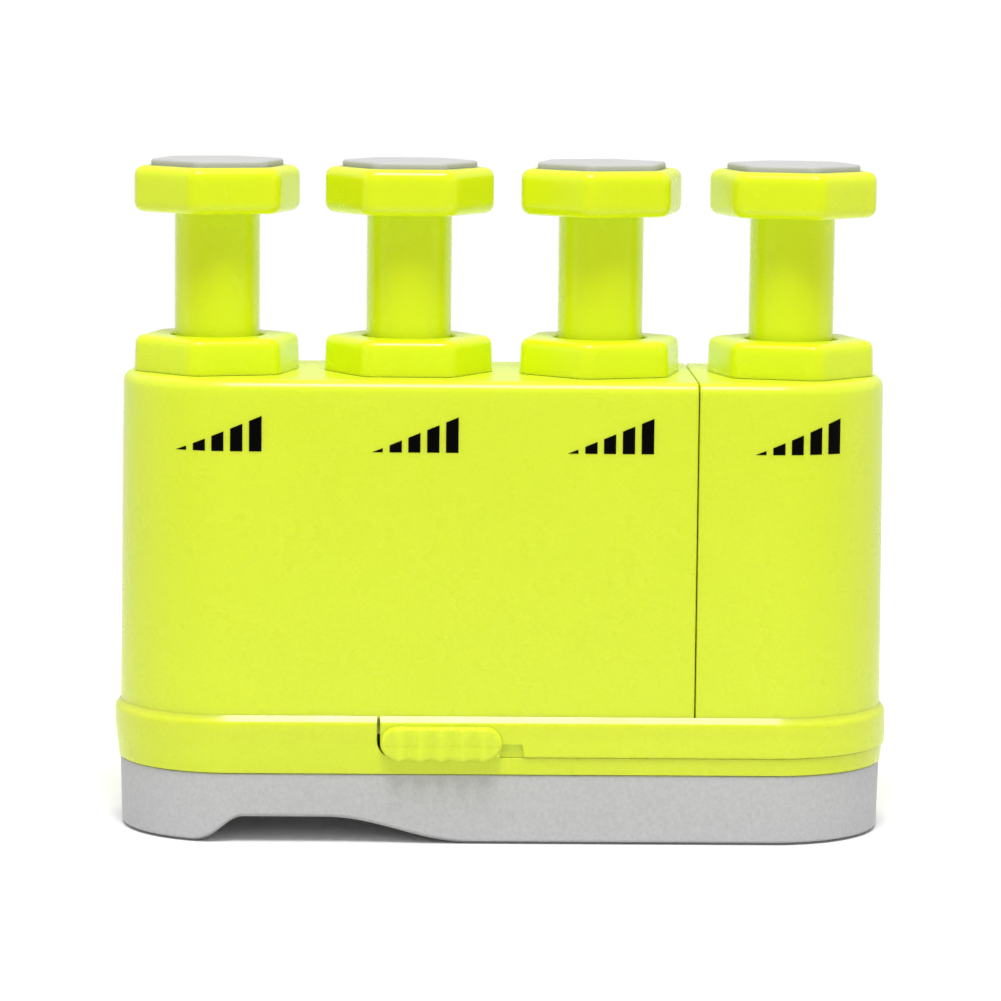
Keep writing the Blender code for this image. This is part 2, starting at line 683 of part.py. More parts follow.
def main():
    clear_scene()
    lime = make_material("lime_plastic", (222, 245, 70), 0.32)
    grey = make_material("grey_soft_grip", (192, 192, 190), 0.62)
    inner = make_material("natural_plastic", (228, 226, 216), 0.45)
    steel = make_material("spring_steel", (190, 190, 188), 0.28, 1.0)
    root = make_axis("body_axis")
    extension = make_axis("extension_axis", parent=root)
    lock = make_axis("lock_axis", parent=extension)
    fixed_cells = [x for x in cell_x if x < split_x]
    sliding_cells = [x for x in cell_x if x > split_x]
    fixed_face = split_x - running_gap / 2
    sliding_face = split_x + running_gap / 2
    make_palm_grip(grey, root)
    make_base_tray(lime, root)
    make_housing("main_housing", fixed_face, -1, fixed_cells, lime, root)
    make_carrier("cell_carrier", fixed_face, -1, fixed_cells, housing_screw_places(),
                 tray_floor_top + running_gap, inner, root)
    make_screws("housing_screw", housing_screw_places(), tray_bottom, steel, root)
    make_drawer(lime, extension)
    make_housing("extension_housing", sliding_face, 1, sliding_cells, lime, extension)
    make_carrier("extension_carrier", sliding_face, 1, sliding_cells, extension_screw_places(),
                 drawer_floor_top + running_gap / 2, inner, extension)
    make_screws("extension_screw", extension_screw_places(), drawer_bottom, steel, extension)
    make_lock_slider(lime, lock)
    make_cells((lime, grey, steel, inner), root, extension)


main()
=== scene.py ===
"""Dressed model of a finger exerciser: four sprung plungers over a two-block housing.

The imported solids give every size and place. The visible mouldings are modelled again here with fine
roundings, and each surface gets its own procedural finish. Lengths are in metres, +Z is up and -Y
is the front.
"""

import json
import math

import bmesh
import bpy
from mathutils import Matrix, Quaternion, Vector

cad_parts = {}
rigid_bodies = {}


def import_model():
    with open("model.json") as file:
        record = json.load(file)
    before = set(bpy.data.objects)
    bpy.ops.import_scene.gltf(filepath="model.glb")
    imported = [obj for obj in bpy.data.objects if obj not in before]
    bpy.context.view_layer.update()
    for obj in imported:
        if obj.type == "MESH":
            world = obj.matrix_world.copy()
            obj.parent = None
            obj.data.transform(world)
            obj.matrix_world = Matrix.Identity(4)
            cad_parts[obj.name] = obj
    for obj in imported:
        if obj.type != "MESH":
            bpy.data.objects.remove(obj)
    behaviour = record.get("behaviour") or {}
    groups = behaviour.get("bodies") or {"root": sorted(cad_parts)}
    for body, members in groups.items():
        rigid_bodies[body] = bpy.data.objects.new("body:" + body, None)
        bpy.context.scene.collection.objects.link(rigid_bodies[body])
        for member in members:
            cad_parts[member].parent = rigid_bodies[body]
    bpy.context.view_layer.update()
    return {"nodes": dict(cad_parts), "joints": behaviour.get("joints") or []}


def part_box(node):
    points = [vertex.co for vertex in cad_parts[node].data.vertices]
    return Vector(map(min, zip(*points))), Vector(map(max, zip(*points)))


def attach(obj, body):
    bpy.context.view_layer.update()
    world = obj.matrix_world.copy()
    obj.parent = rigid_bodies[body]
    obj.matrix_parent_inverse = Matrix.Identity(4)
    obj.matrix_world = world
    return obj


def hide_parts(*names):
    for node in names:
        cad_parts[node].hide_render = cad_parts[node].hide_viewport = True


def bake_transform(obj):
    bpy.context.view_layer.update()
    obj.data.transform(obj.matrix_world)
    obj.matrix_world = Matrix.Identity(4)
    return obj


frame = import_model()

# Places read from the frame -------------------------------
CELLS = ("1", "2", "3", "4")
JOINTS = {joint["name"]: joint for joint in frame["joints"]}
CELL_X = {cell: JOINTS[f"collar_{cell}_turn"]["pos_m"][0] for cell in CELLS}
CARRIED_BY = {cell: JOINTS[f"collar_{cell}_turn"]["parent"] for cell in CELLS}
GRIP_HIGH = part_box("palm_grip")[1]
TRAY_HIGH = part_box("base_tray")[1]
DRAWER_LOW, DRAWER_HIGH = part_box("extension_drawer")
FIXED_LOW, FIXED_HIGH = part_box("main_housing")
SLIDING_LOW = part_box("extension_housing")[0]
COLLAR_LOW, COLLAR_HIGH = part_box("tension_collar_2")
PISTON_LOW, PISTON_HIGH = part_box("piston_2")
PAD_LOW, PAD_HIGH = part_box("finger_pad_2")
LOCK_LOW, LOCK_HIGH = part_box("lock_slider")
SPRING_LOW, SPRING_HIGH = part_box("spring_2")
HALF_LENGTH = DRAWER_HIGH.x
HALF_DEPTH = DRAWER_HIGH.y
END_X = HALF_LENGTH - HALF_DEPTH          # centre of each half-round end
SEAM_X = (FIXED_HIGH.x + SLIDING_LOW.x) / 2

# Body mouldings -------------------------------------------
BAND_TOP_RAISE = 0.0001                   # of the band over the tray's solid
BAND_TOP_Z = TRAY_HIGH.z + BAND_TOP_RAISE
HOUSING_TOP_DROP = 0.00436                # from the collars' top, to just under the collars
HOUSING_TOP_Z = COLLAR_HIGH.z - HOUSING_TOP_DROP
GAP = 0.0003                              # the solids' gap between pieces that touch
END_SEGMENTS = 128                        # round the two half-round ends together
BODY_DRAFT = math.radians(0.5)
HOUSING_LEAN = (HOUSING_TOP_Z - FIXED_LOW.z) * math.tan(BODY_DRAFT)
SEAM_WIDTH = 0.00014                      # between the two blocks
SEAM_ROUND = 0.00030
HOUSING_WALL = 0.0018
HOUSING_TOP_ROUND = 0.0014
FOOT_REBATE = 0.0007                      # round the foot, behind the band's lip
REBATE_DROP = 0.0003                      # from the band's top to the rebate
REBATE_TOP_Z = BAND_TOP_Z - REBATE_DROP
SLEEVE_HOLE_RADIUS = 0.0082
BAND_LIP = 0.00070                        # the band's wall above the ledge that carries the housing
LIP_TOP = 0.00003                         # flat left on top of the lip
BAND_WALL = 0.0017
BAND_SLOPE_DROP = 0.00088                 # of the band's sloping top edge, over the lip's width
BAND_EDGE_ROUND = 0.00030
BAND_STRAIGHT = 0.0025                    # upright part of the band's face
BAND_UNDERCUT = 0.0005                    # lean of the face below it
SHOULDER_DROP = 0.0025
TRAY_FLOOR_Z = 0.0104
TRAY_RIM_Z = 0.01066                      # top of the strip that runs on under the drawer
STRIP_EDGE_ROUND = 0.00016
TRAY_STRIP_LEAN = 0.0001                  # least reach of the strip's top past the tray's foot
DRAWER_FLOOR_Z = 0.0126
DRAWER_FOOT_ROUND = 0.00030
SLIT_FROM_LOCK = 0.0002
SLIT_X = LOCK_LOW.x - SLIT_FROM_LOCK
SLIT_WIDTH = 0.00038
SLIT_CORNER = 0.0017
SLIT_EDGE_ROUND = 0.00006
NOTCH_HEIGHT = 0.00166
NOTCH_DEPTH = 0.0005
NOTCH_SLANT = 0.0006                      # lean of its right end
NOTCH_REACH = 0.0024                      # past the lock slider's pad: its travel
TONGUE_HALF_WIDTH = 0.0065
SLOT_HALF_WIDTH = 0.0031
SLOT_LEFT = -0.0200
EXTENSION_SCREW_X = CELL_X["4"]
EXTENSION_SCREW_STEP = 0.0065             # of each screw from the cell's middle
SCREW_HOLE_RADIUS = 0.0023
SCREW_HOLE_DEPTH = 0.0014
GRIP_SEAM = 0.0001                        # between the grip and the tray
GRIP_TAPER = 0.0002
GRIP_EDGE_ROUND = 0.0003
SOLE_INSET = 0.0009                       # the sole stands in from the rounded edge
SOLE_STEP = 0.0003
GRIP_TOP_ROUND = 0.0002
ARCH_LEFT = -0.0378
ARCH_RISE = 0.0065
ARCH_START = 1.25                         # above one, the rise starts more gently than it ends
ARCH_CROWN = 0.0098
ARCH_FALL = 0.0180
ARCH_HEIGHT = 0.0031
ARCH_SLICE = 0.0004                       # between two cuts across the grip along the arch

# Lock slider ----------------------------------------------
LOCK_PAD_FOOT_Z = 0.0105
LOCK_PAD_HEIGHT = 0.0040
LOCK_PAD_BACK = 0.00006                   # from the band's face to the back of the pad
LOCK_PAD_EDGE_ROUND = 0.00055
LOCK_PAD_ALONG = 150                      # points along its face
LOCK_PAD_UP = 64
FLUTE_COUNT = 5
FLUTE_PITCH = 0.00253
FLUTE_DEPTH = 0.00060
SCALLOP = 0.00013                         # bulge of the pad's lower edge under each flute
CREASE_DEPTH = 0.00007
CREASE_WIDTH = 0.00009
CREASE_RISE = -0.00037                    # of the crease from the pad's middle line
CREASE_WAVE = 0.00004
STEM_HEIGHT = 0.0012
STEM_INSET = 0.0026

# One plunger cell -----------------------------------------
CELL_YAW = {"1": 16.0, "2": 0.0, "3": 18.0, "4": -15.4}    # degrees
RIM_POINTS = 48                           # round a circle and round a hexagon alike
RIM_SPACING = 0.01                        # between rims while they are bridged
CORNER_SEGMENTS = RIM_POINTS // 6 - 1
HEX_CORNER = 0.0020
HEX_CORNER_LEAST = 0.0006
ROUNDING_CORNER_SHARE = 0.8               # of the corner's radius lost per step inwards on a soft edge
HEAD_HEIGHT = 0.00560
HEAD_EDGE_ROUND = 0.0016                  # reach of the soft rounding from the edge, both ways
COLLAR_HEIGHT = 0.0043
COLLAR_TOP_ROUND = 0.0014
ROUNDING_SQUARENESS = 2.7                 # two is a circle, more keeps the corner fuller
ROUNDING_STEPS = 9
COLLAR_DRAFT = 0.00010
COLLAR_HOLE_RADIUS = 0.00575
COLLAR_HOLE_ROUND = 0.00025
SHAFT_RADIUS = 0.00515
FLANGE_APOTHEM = 0.0054
FLANGE_CORNER = 0.0006
FLANGE_HEIGHT = 0.0030
SPRING_BORE_RADIUS = 0.0041
SPRING_BORE_DEPTH = 0.0140                # from the foot of the flange
SLEEVE_RADIUS = 0.0079
THREAD_BORE_RADIUS = 0.0068
KEY_BORE_LENGTH = 0.0173
GROOVE_RADIUS = 0.0073
GROOVE_DROP = 0.0021                      # from the collar's seat to the groove's top
GROOVE_WIDTH = 0.0016
PAD_CORNER = 0.0015
PAD_RECESS = 0.0008
PAD_RIM_ROUND = 0.00035
PAD_CROWN = 0.00018
# of the crown: how far inwards, and its share of the rise
PAD_CROWN_STEPS = ((0.0016, 0.45), (0.0032, 0.77), (0.0048, 0.95), (0.0060, 1.0))
PAD_CORNER_FALL = 0.2                     # of the corner's radius per step inwards
SPRING_WIRE = 0.0009
SPRING_TURNS = 8
SPRING_OPEN_TURNS = SPRING_TURNS - 2      # the first and the last are closed
SPRING_CLOSED_RISE = SPRING_WIRE * 1.15   # of a closed turn
SPRING_STEPS = 24                         # round one turn
SPRING_SPLIT = 0.36                       # share of the spring's height in its lower piece
WIRE_SEGMENTS = 10

# Level marks printed over each cell -----------------------
MARK_BASE_Z = 0.0474
MARK_RISE = 0.415                         # slope of the marks' top line
# left and right of each bar
MARK_BARS = ((0.0, 0.00125), (0.00205, 0.00352), (0.00428, 0.00573), (0.00652, 0.00799), (0.00877, 0.01027))
MARK_LEFT = {"1": -0.03940, "2": -0.01594, "3": 0.00740, "4": 0.02986}
MARK_LEAST = 0.00003                      # height of the first bar's tip
MARK_SLICE = 0.0005                       # between two cuts across the bars, so that they can curve
MARK_THICKNESS = 0.00002
MARK_SUNK = 0.00001                       # of the print's back into the wall

# Mesh tolerances ------------------------------------------
SHARP_ANGLE = math.radians(35)
WELD = 1e-7
RIM_TOLERANCE = 0.0001                    # a point this near a rim lies on it
SLIT_TOLERANCE = 0.0002                   # the same for the slit's edges, whose face may lean

# Finishes -------------------------------------------------
FLOAT, VECTOR, RGBA = "NodeSocketFloat", "NodeSocketVector", "NodeSocketColor"
NOISE_ROUGHNESS = 0.55
NOISE_SPAN = (0.25, 0.75)                 # where nearly all of a noise's values lie
GLOW_DEPTH = 0.0015                       # how far light spreads under lime plastic
GLOW_REACH = (1.0, 1.0, 0.4)              # of its red, green and blue
ROLL_SCALE = 0.12                         # of the grain's soft roll against that of its pits
DRIFT_SCALE = 55.0
RUBBED_FROM = 0.985                       # agreement of the softened and the true normal at an edge's rim
RUBBED_FULL = 0.88
RUBBED_SCALE = 420.0                      # of the noise that breaks the wear up
RUBBED_SPAN = (0.42, 0.62)                # of that noise, from the least wear to all of it
RUBBED_LEAST = 0.25
SMUDGE_SCALE = 130.0
SMUDGE_SHARE = 0.93
STREAK_SCALE = (300.0, 300.0, 3000.0)
STREAK_SHARE = 0.07

# Surroundings ---------------------------------------------
AMBIENT = 0.50                            # of the world near the horizon on everything that it lights
AMBIENT_TOP = 0.82                        # and of its top
TOP_SPAN = (0.1, 1.0)                     # of the direction's height, over which one turns into the other
SIDE_SHARE = 0.55                         # of the ambient that comes from the two sides
SIDE_SPAN = (0.2, 0.8)                    # of the square of the direction's sideways part
BACK_SHARE = 1.50                         # of the ambient that comes from behind, where no softbox stands
BACK_SPAN = (0.2, 0.8)                    # of the direction's backward part
FRONT_MIRRORED = 0.20                     # of what stands in front, in the gloss
FRONT_MIRROR_SPAN = (-0.3, -0.8)
BACK_MIRRORED = 0.72                      # of what stands behind
BACK_MIRROR_SPAN = (0.3, 0.9)
FLOOR_RADIUS = 30.0
FLOOR_DROP = 0.00002                      # under the sole
FLOOR_AMBIENT = 0.73                      # of the floor far away
FRONT_DIM_FROM = -0.08                    # m in front of the middle: the gloss of the floor begins to dim
FRONT_DIM_TO = -0.25
FLOOR_BOUNCE = 0.76                       # tone of the lit floor for the object, and as it is seen
FLOOR_TONE = 0.98
FLOOR_LIT_RADIUS = 0.16                   # up to which the floor is lit, and from which it is plain white
FLOOR_PLAIN_RADIUS = 0.34

# Softbox and camera ---------------------------------------
SOFTBOX_AIM = Vector((0.0, 0.0, 0.04))
SOFTBOX_ELEVATION = math.radians(66.5)
SOFTBOX_DISTANCE = 1.0
SOFTBOX_WIDTH = 0.30
SOFTBOX_LENGTH = 0.35
SOFTBOX_POWER = 7.0                       # W
CAMERA_AIM = Vector((-0.0002677, 0.0, 0.0400127))
CAMERA_DISTANCE = 0.5333
CAMERA_AZIMUTH = math.radians(1.392)      # to the left of straight ahead
CAMERA_ELEVATION = math.radians(7.024)
CAMERA_ROLL = math.radians(0.579)
CAMERA_LENS = 156.42                      # mm, on a 36 mm sensor
CAMERA_NEAR = 0.01
CAMERA_FAR = 100.0


# Shader helpers -------------------------------------------
def linear(channel):
    """The light value of a screen colour channel given from 0 to 255."""
    value = channel / 255
    return value / 12.92 if value <= 0.04045 else ((value + 0.055) / 1.055) ** 2.4


def colour(red, green, blue):
    return (linear(red), linear(green), linear(blue), 1.0)


class Graph:
    """Short calls for the nodes and links of one material, world or node group."""

    def __init__(self, tree):
        self.tree = tree

    def add(self, kind, inputs=None, **settings):
        node = self.tree.nodes.new(kind)
        for name, value in settings.items():
            setattr(node, name, value)
        for key, value in (inputs or {}).items():
            self.feed(node.inputs[key], value)
        return node

    def feed(self, socket, value):
        if isinstance(value, bpy.types.NodeSocket):
            self.tree.links.new(value, socket)
        else:
            socket.default_value = value

    def math(self, operation, first, second=0.0):
        return self.add("ShaderNodeMath", {0: first, 1: second}, operation=operation).outputs[0]

    def noise(self, vector, scale, detail=2.0):
        inputs = {"Vector": vector, "Scale": scale, "Detail": detail, "Roughness": NOISE_ROUGHNESS}
        return self.add("ShaderNodeTexNoise", inputs).outputs["Fac"]

    def remap(self, value, low, high, new_low, new_high):
        inputs = {"Value": value, "From Min": low, "From Max": high, "To Min": new_low, "To Max": new_high}
        return self.add("ShaderNodeMapRange", inputs).outputs["Result"]

    def mix(self, factor, first, second):
        return self.add("ShaderNodeMix", {0: factor, 2: first, 3: second}).outputs["Result"]

    def mix_colours(self, factor, first, second):
        return self.add("ShaderNodeMix", {0: factor, 6: first, 7: second}, data_type="RGBA").outputs[2]

    def position(self):
        return self.add("ShaderNodeTexCoord").outputs["Object"]

    def group(self, tree, **inputs):
        node = self.add("ShaderNodeGroup", node_tree=tree)
        for name, value in inputs.items():
            self.feed(node.inputs[name], value)
        return node.outputs


def new_group(name, inputs, outputs):
    """An empty node group. Inputs give each socket's kind and default, outputs its kind."""
    tree = bpy.data.node_groups.new(name, "ShaderNodeTree")
    for label, (kind, default) in inputs.items():
        socket = tree.interface.new_socket(name=label, in_out="INPUT", socket_type=kind)
        if default is not None:
            socket.default_value = default
    for label, kind in outputs.items():
        tree.interface.new_socket(name=label, in_out="OUTPUT", socket_type=kind)
    graph = Graph(tree)
    return tree, graph, graph.add("NodeGroupInput").outputs, graph.add("NodeGroupOutput").inputs


def make_grain_group():
    """Spark-eroded mould texture, as a height: fine pits over a softer roll."""
    inputs = {"Position": (VECTOR, None), "Scale": (FLOAT, 2500.0), "Roll": (FLOAT, 0.3)}
    tree, graph, given, out = new_group("moulded_grain", inputs, {"Height": FLOAT})
    pits = graph.noise(given["Position"], given["Scale"], 3.0)
    slow = graph.math("MULTIPLY", given["Scale"], ROLL_SCALE)
    roll = graph.noise(given["Position"], slow, 1.0)
    graph.feed(out["Height"], graph.math("ADD", pits, graph.math("MULTIPLY", roll, given["Roll"])))
    return tree


def make_drift_group():
    """Colour that drifts in brightness over the piece and is speckled at the scale of the grain."""
    inputs = {"Position": (VECTOR, None), "Color": (RGBA, (1, 1, 1, 1)), "Drift": (FLOAT, 0.03),
              "Speckle": (FLOAT, 0.03), "Scale": (FLOAT, 2600.0)}
    tree, graph, given, out = new_group("colour_drift", inputs, {"Color": RGBA})
    broad = graph.math("SUBTRACT", graph.noise(given["Position"], DRIFT_SCALE), 0.5)
    fine = graph.math("SUBTRACT", graph.noise(given["Position"], given["Scale"]), 0.5)
    shift = graph.math("ADD", graph.math("MULTIPLY", broad, given["Drift"]),
                       graph.math("MULTIPLY", fine, given["Speckle"]))
    value = graph.math("ADD", graph.math("MULTIPLY", shift, 2.0), 1.0)
    toned = graph.add("ShaderNodeHueSaturation", {"Value": value, "Color": given["Color"]})
    graph.feed(out["Color"], toned.outputs["Color"])
    return tree


def make_wear_group():
    """Where edges are rubbed: a mask that follows the edges and is broken up along them."""
    inputs = {"Position": (VECTOR, None), "Width": (FLOAT, 0.0003), "Amount": (FLOAT, 0.5)}
    tree, graph, given, out = new_group("edge_wear", inputs, {"Mask": FLOAT})
    softened = graph.add("ShaderNodeBevel", {"Radius": given["Width"]}, samples=4).outputs["Normal"]
    true_normal = graph.add("ShaderNodeNewGeometry").outputs["Normal"]
    agree = graph.add("ShaderNodeVectorMath", {0: softened, 1: true_normal}, operation="DOT_PRODUCT")
    edge = graph.remap(agree.outputs["Value"], RUBBED_FROM, RUBBED_FULL, 0.0, 1.0)
    patches = graph.noise(given["Position"], RUBBED_SCALE, 3.0)
    broken = graph.remap(patches, *RUBBED_SPAN, RUBBED_LEAST, 1.0)
    rubbed = graph.math("MULTIPLY", edge, broken)
    graph.feed(out["Mask"], graph.math("MULTIPLY", rubbed, given["Amount"]))
    return tree


def make_handling_group():
    """Roughness that drifts as on a handled piece: broad smudges and a few fine streaks."""
    inputs = {"Position": (VECTOR, None), "Low": (FLOAT, 0.25), "High": (FLOAT, 0.35)}
    tree, graph, given, out = new_group("handled_gloss", inputs, {"Roughness": FLOAT})
    smudge = graph.noise(given["Position"], SMUDGE_SCALE, 3.0)
    drawn = graph.add("ShaderNodeMapping", {"Vector": given["Position"], "Scale": STREAK_SCALE})
    streak = graph.noise(drawn.outputs["Vector"], 1.0)
    blend = graph.math("ADD", graph.math("MULTIPLY", smudge, SMUDGE_SHARE),
                       graph.math("MULTIPLY", streak, STREAK_SHARE))
    graph.feed(out["Roughness"], graph.remap(blend, *NOISE_SPAN, given["Low"], given["High"]))
    return tree


# Materials ------------------------------------------------
def make_finish(name, groups, tone, worn, gloss, grain, drift=0.02, speckle=0.02, wear=0.25, metallic=0.0,
                specular=0.5, glow=0.0):
    """A surface with drifting colour, rubbed edges, uneven gloss and a moulded grain.

    gloss is the lowest and highest roughness, grain its scale and depth, and glow the share of
    light that spreads under the surface.
    """
    material = bpy.data.materials.new(name)
    material.use_nodes = True
    material.diffuse_color = tone
    graph = Graph(material.node_tree)
    shader = material.node_tree.nodes["Principled BSDF"]
    position = graph.position()
    scale, depth = grain
    drifting = graph.group(groups["drift"], Position=position, Color=tone, Drift=drift, Speckle=speckle,
                           Scale=scale)["Color"]
    mask = graph.group(groups["wear"], Position=position, Amount=wear)["Mask"]
    graph.feed(shader.inputs["Base Color"], graph.mix_colours(mask, drifting, worn))
    low, high = gloss
    handled = graph.group(groups["handling"], Position=position, Low=low, High=high)["Roughness"]
    graph.feed(shader.inputs["Roughness"], handled)
    height = graph.group(groups["grain"], Position=position, Scale=scale)["Height"]
    bump = graph.add("ShaderNodeBump", {"Height": height, "Distance": depth, "Strength": 1.0})
    graph.feed(shader.inputs["Normal"], bump.outputs["Normal"])
    shader.inputs["Subsurface Weight"].default_value = glow
    shader.inputs["Subsurface Radius"].default_value = GLOW_REACH
    shader.inputs["Subsurface Scale"].default_value = GLOW_DEPTH
    shader.inputs["Metallic"].default_value = metallic
    shader.inputs["Specular IOR Level"].default_value = specular
    return material


def make_finishes():
    groups = {"grain": make_grain_group(), "drift": make_drift_group(), "wear": make_wear_group(),
              "handling": make_handling_group()}
    lime = (0.757, 0.890, 0.030, 1.0)
    vivid_lime = (0.770, 0.900, 0.007, 1.0)
    pale_lime = (0.86, 0.95, 0.16, 1.0)
    return {
        "body": make_finish("satin_lime_body", groups, lime, pale_lime, (0.24, 0.32), (2600.0, 0.000008),
                            speckle=0.055, glow=0.5),
        "plunger": make_finish("gloss_lime_plunger", groups, vivid_lime, pale_lime, (0.22, 0.30),
                               (1800.0, 0.0000012), speckle=0.014, glow=0.6),
        "grip": make_finish("soft_grey_grip", groups, colour(195, 195, 197), colour(208, 208, 208),
                            (0.50, 0.60), (2300.0, 0.000018), drift=0.012, speckle=0.16, specular=0.35),
        "pad": make_finish("soft_grey_pad", groups, colour(191, 191, 189), colour(203, 203, 201),
                           (0.52, 0.62), (2600.0, 0.000012), drift=0.01, speckle=0.02, specular=0.35),
        "natural": make_finish("natural_inner_plastic", groups, colour(228, 226, 216), colour(238, 237, 230),
                               (0.40, 0.50), (2000.0, 0.000006)),
        "steel": make_finish("drawn_steel", groups, colour(190, 190, 188), colour(214, 214, 212),
                             (0.18, 0.34), (5200.0, 0.000002), metallic=1.0),
        "print": make_finish("black_print", groups, colour(2, 2, 2), colour(26, 26, 22), (0.45, 0.60),
                             (2600.0, 0.000006), speckle=0.05, specular=0.04),
    }


# Mesh helpers ---------------------------------------------
def finish_piece(name, bm, material, body, slot, *replaced):
    """Turn a shape into a piece in place of the solids it replaces; one given no body is left unattached."""
    bmesh.ops.remove_doubles(bm, verts=bm.verts, dist=WELD)
    bmesh.ops.holes_fill(bm, edges=[edge for edge in bm.edges if edge.is_boundary], sides=4)
    bmesh.ops.recalc_face_normals(bm, faces=bm.faces)
    mesh = bpy.data.meshes.new(name)
    bm.to_mesh(mesh)
    bm.free()
    mesh.materials.append(material)
    mesh.shade_smooth()
    mesh.set_sharp_from_angle(angle=SHARP_ANGLE)
    piece = bpy.data.objects.new(name, mesh)
    bpy.context.scene.collection.objects.link(piece)
    weighted = piece.modifiers.new("even_shading", "WEIGHTED_NORMAL")
    weighted.keep_sharp = True
    if body:
        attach(piece, body)
    if replaced:
        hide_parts(*replaced)
    return piece


def carve(bm, tools, operation="DIFFERENCE"):
    """Cut closed shapes out of a shape, join them to it or keep what they share, as a new shape."""
    items = []
    for shape in (bm, *tools):
        bmesh.ops.recalc_face_normals(shape, faces=shape.faces)
        mesh = bpy.data.meshes.new("carving")
        shape.to_mesh(mesh)
        shape.free()
        item = bpy.data.objects.new("carving", mesh)
        bpy.context.scene.collection.objects.link(item)
        items.append(item)
    for tool in items[1:]:
        modifier = items[0].modifiers.new("carving", "BOOLEAN")
        modifier.operation = operation
        modifier.solver = "EXACT"
        modifier.object = tool
    result = bmesh.new()
    result.from_object(items[0], bpy.context.evaluated_depsgraph_get())
    for item in items:
        bpy.data.meshes.remove(item.data)
    return result


def spread_rim(verts, amount):
    """Move points outwards from the body's spine, the line between the centres of its round ends."""
    for vert in verts:
        spine = Vector((max(-END_X, min(END_X, vert.co.x)), 0, vert.co.z))
        vert.co += (vert.co - spine).normalized() * amount


def stadium_face(bm, half_depth, z):
    """A lying stadium: a disc drawn apart at its middle."""
    step = math.pi / END_SEGMENTS
    place = Matrix.Translation((0, 0, z)) @ Matrix.Rotation(step, 4, "Z")
    made = bmesh.ops.create_circle(bm, cap_ends=True, radius=half_depth / math.cos(step),
                                   segments=END_SEGMENTS, matrix=place)
    for vert in made["verts"]:
        vert.co.x += math.copysign(END_X, vert.co.x)
    return made["verts"][0].link_faces[0]


def extrude_to(bm, face, z, spread=0.0):
    """Extrude a level face to a height, spread its rim, and give back the face that was moved."""
    rise = z - face.calc_center_median().z
    made = bmesh.ops.extrude_face_region(bm, geom=[face, *face.edges])["geom"]
    moved = next(item for item in made if isinstance(item, bmesh.types.BMFace))
    bmesh.ops.translate(bm, verts=moved.verts, vec=(0, 0, rise))
    spread_rim(moved.verts, spread)
    return moved


def inset(bm, face, width):
    bmesh.ops.inset_region(bm, faces=[face], thickness=width, use_even_offset=True, use_boundary=True)


def round_edges(bm, edges, radius, segments=5):
    bmesh.ops.bevel(bm, geom=edges, offset=radius, offset_type="OFFSET", segments=segments, profile=0.5,
                    affect="EDGES", material=-1, clamp_overlap=True)


def edges_where(bm, test):
    return [edge for edge in bm.edges if all(test(vert.co) for vert in edge.verts)]


def box_shape(low, high):
    bm = bmesh.new()
    size = Vector(high) - Vector(low)
    place = Matrix.Translation((Vector(high) + Vector(low)) / 2) @ Matrix.Diagonal((*size, 1.0))
    bmesh.ops.create_cube(bm, size=1.0, matrix=place)
    return bm


def rod_shape(centre, radius, low, high, segments=64):
    bm = bmesh.new()
    place = Matrix.Translation((centre[0], centre[1], (low + high) / 2))
    bmesh.ops.create_cone(bm, cap_ends=True, segments=segments, radius1=radius, radius2=radius,
                          depth=high - low, matrix=place)
    return bm


# Tray and drawer ------------------------------------------
def band_trough(foot_z, lean, floor_z):
    """The body of tray and drawer: a stadium with a stepped pocket that carries the housing's foot."""
    bm = bmesh.new()
    face = stadium_face(bm, HALF_DEPTH - lean, foot_z)
    if lean:
        face = extrude_to(bm, face, TRAY_HIGH.z - BAND_STRAIGHT, lean)
    slope_foot = BAND_TOP_Z - BAND_SLOPE_DROP
    face = extrude_to(bm, face, slope_foot)
    face = extrude_to(bm, face, BAND_TOP_Z, LIP_TOP - BAND_LIP)
    inset(bm, face, LIP_TOP)
    face = extrude_to(bm, face, BAND_TOP_Z - SHOULDER_DROP)
    inset(bm, face, BAND_WALL - BAND_LIP)
    extrude_to(bm, face, floor_z)
    bmesh.ops.recalc_face_normals(bm, faces=bm.faces)
    round_edges(bm, edges_where(bm, lambda co: abs(co.z - slope_foot) < WELD), BAND_EDGE_ROUND)
    return bm


def on_rim(co, half_depth):
    spine = Vector((max(-END_X, min(END_X, co.x)), 0, co.z))
    return (co - spine).length > half_depth - RIM_TOLERANCE


def drawer_room(left, corner, foot_z):
    """The space right of the slit: a block whose lower left edge is rounded."""
    far = HALF_LENGTH + BAND_WALL
    deep = HALF_DEPTH + BAND_WALL
    bm = box_shape((left, -deep, foot_z), (far, deep, TRAY_HIGH.z + BAND_WALL))
    round_edges(bm, edges_where(bm, lambda co: co.x < left + WELD and co.z < foot_z + WELD), corner,
                segments=10)
    return bm


def soften_slit(bm, x):
    """Round the upright edges that the slit leaves in the band's face."""
    face = HALF_DEPTH - SLIT_TOLERANCE
    edges = edges_where(bm, lambda co: abs(co.x - x) < 10 * WELD and abs(co.y) > face)
    round_edges(bm, edges, SLIT_EDGE_ROUND, segments=2)


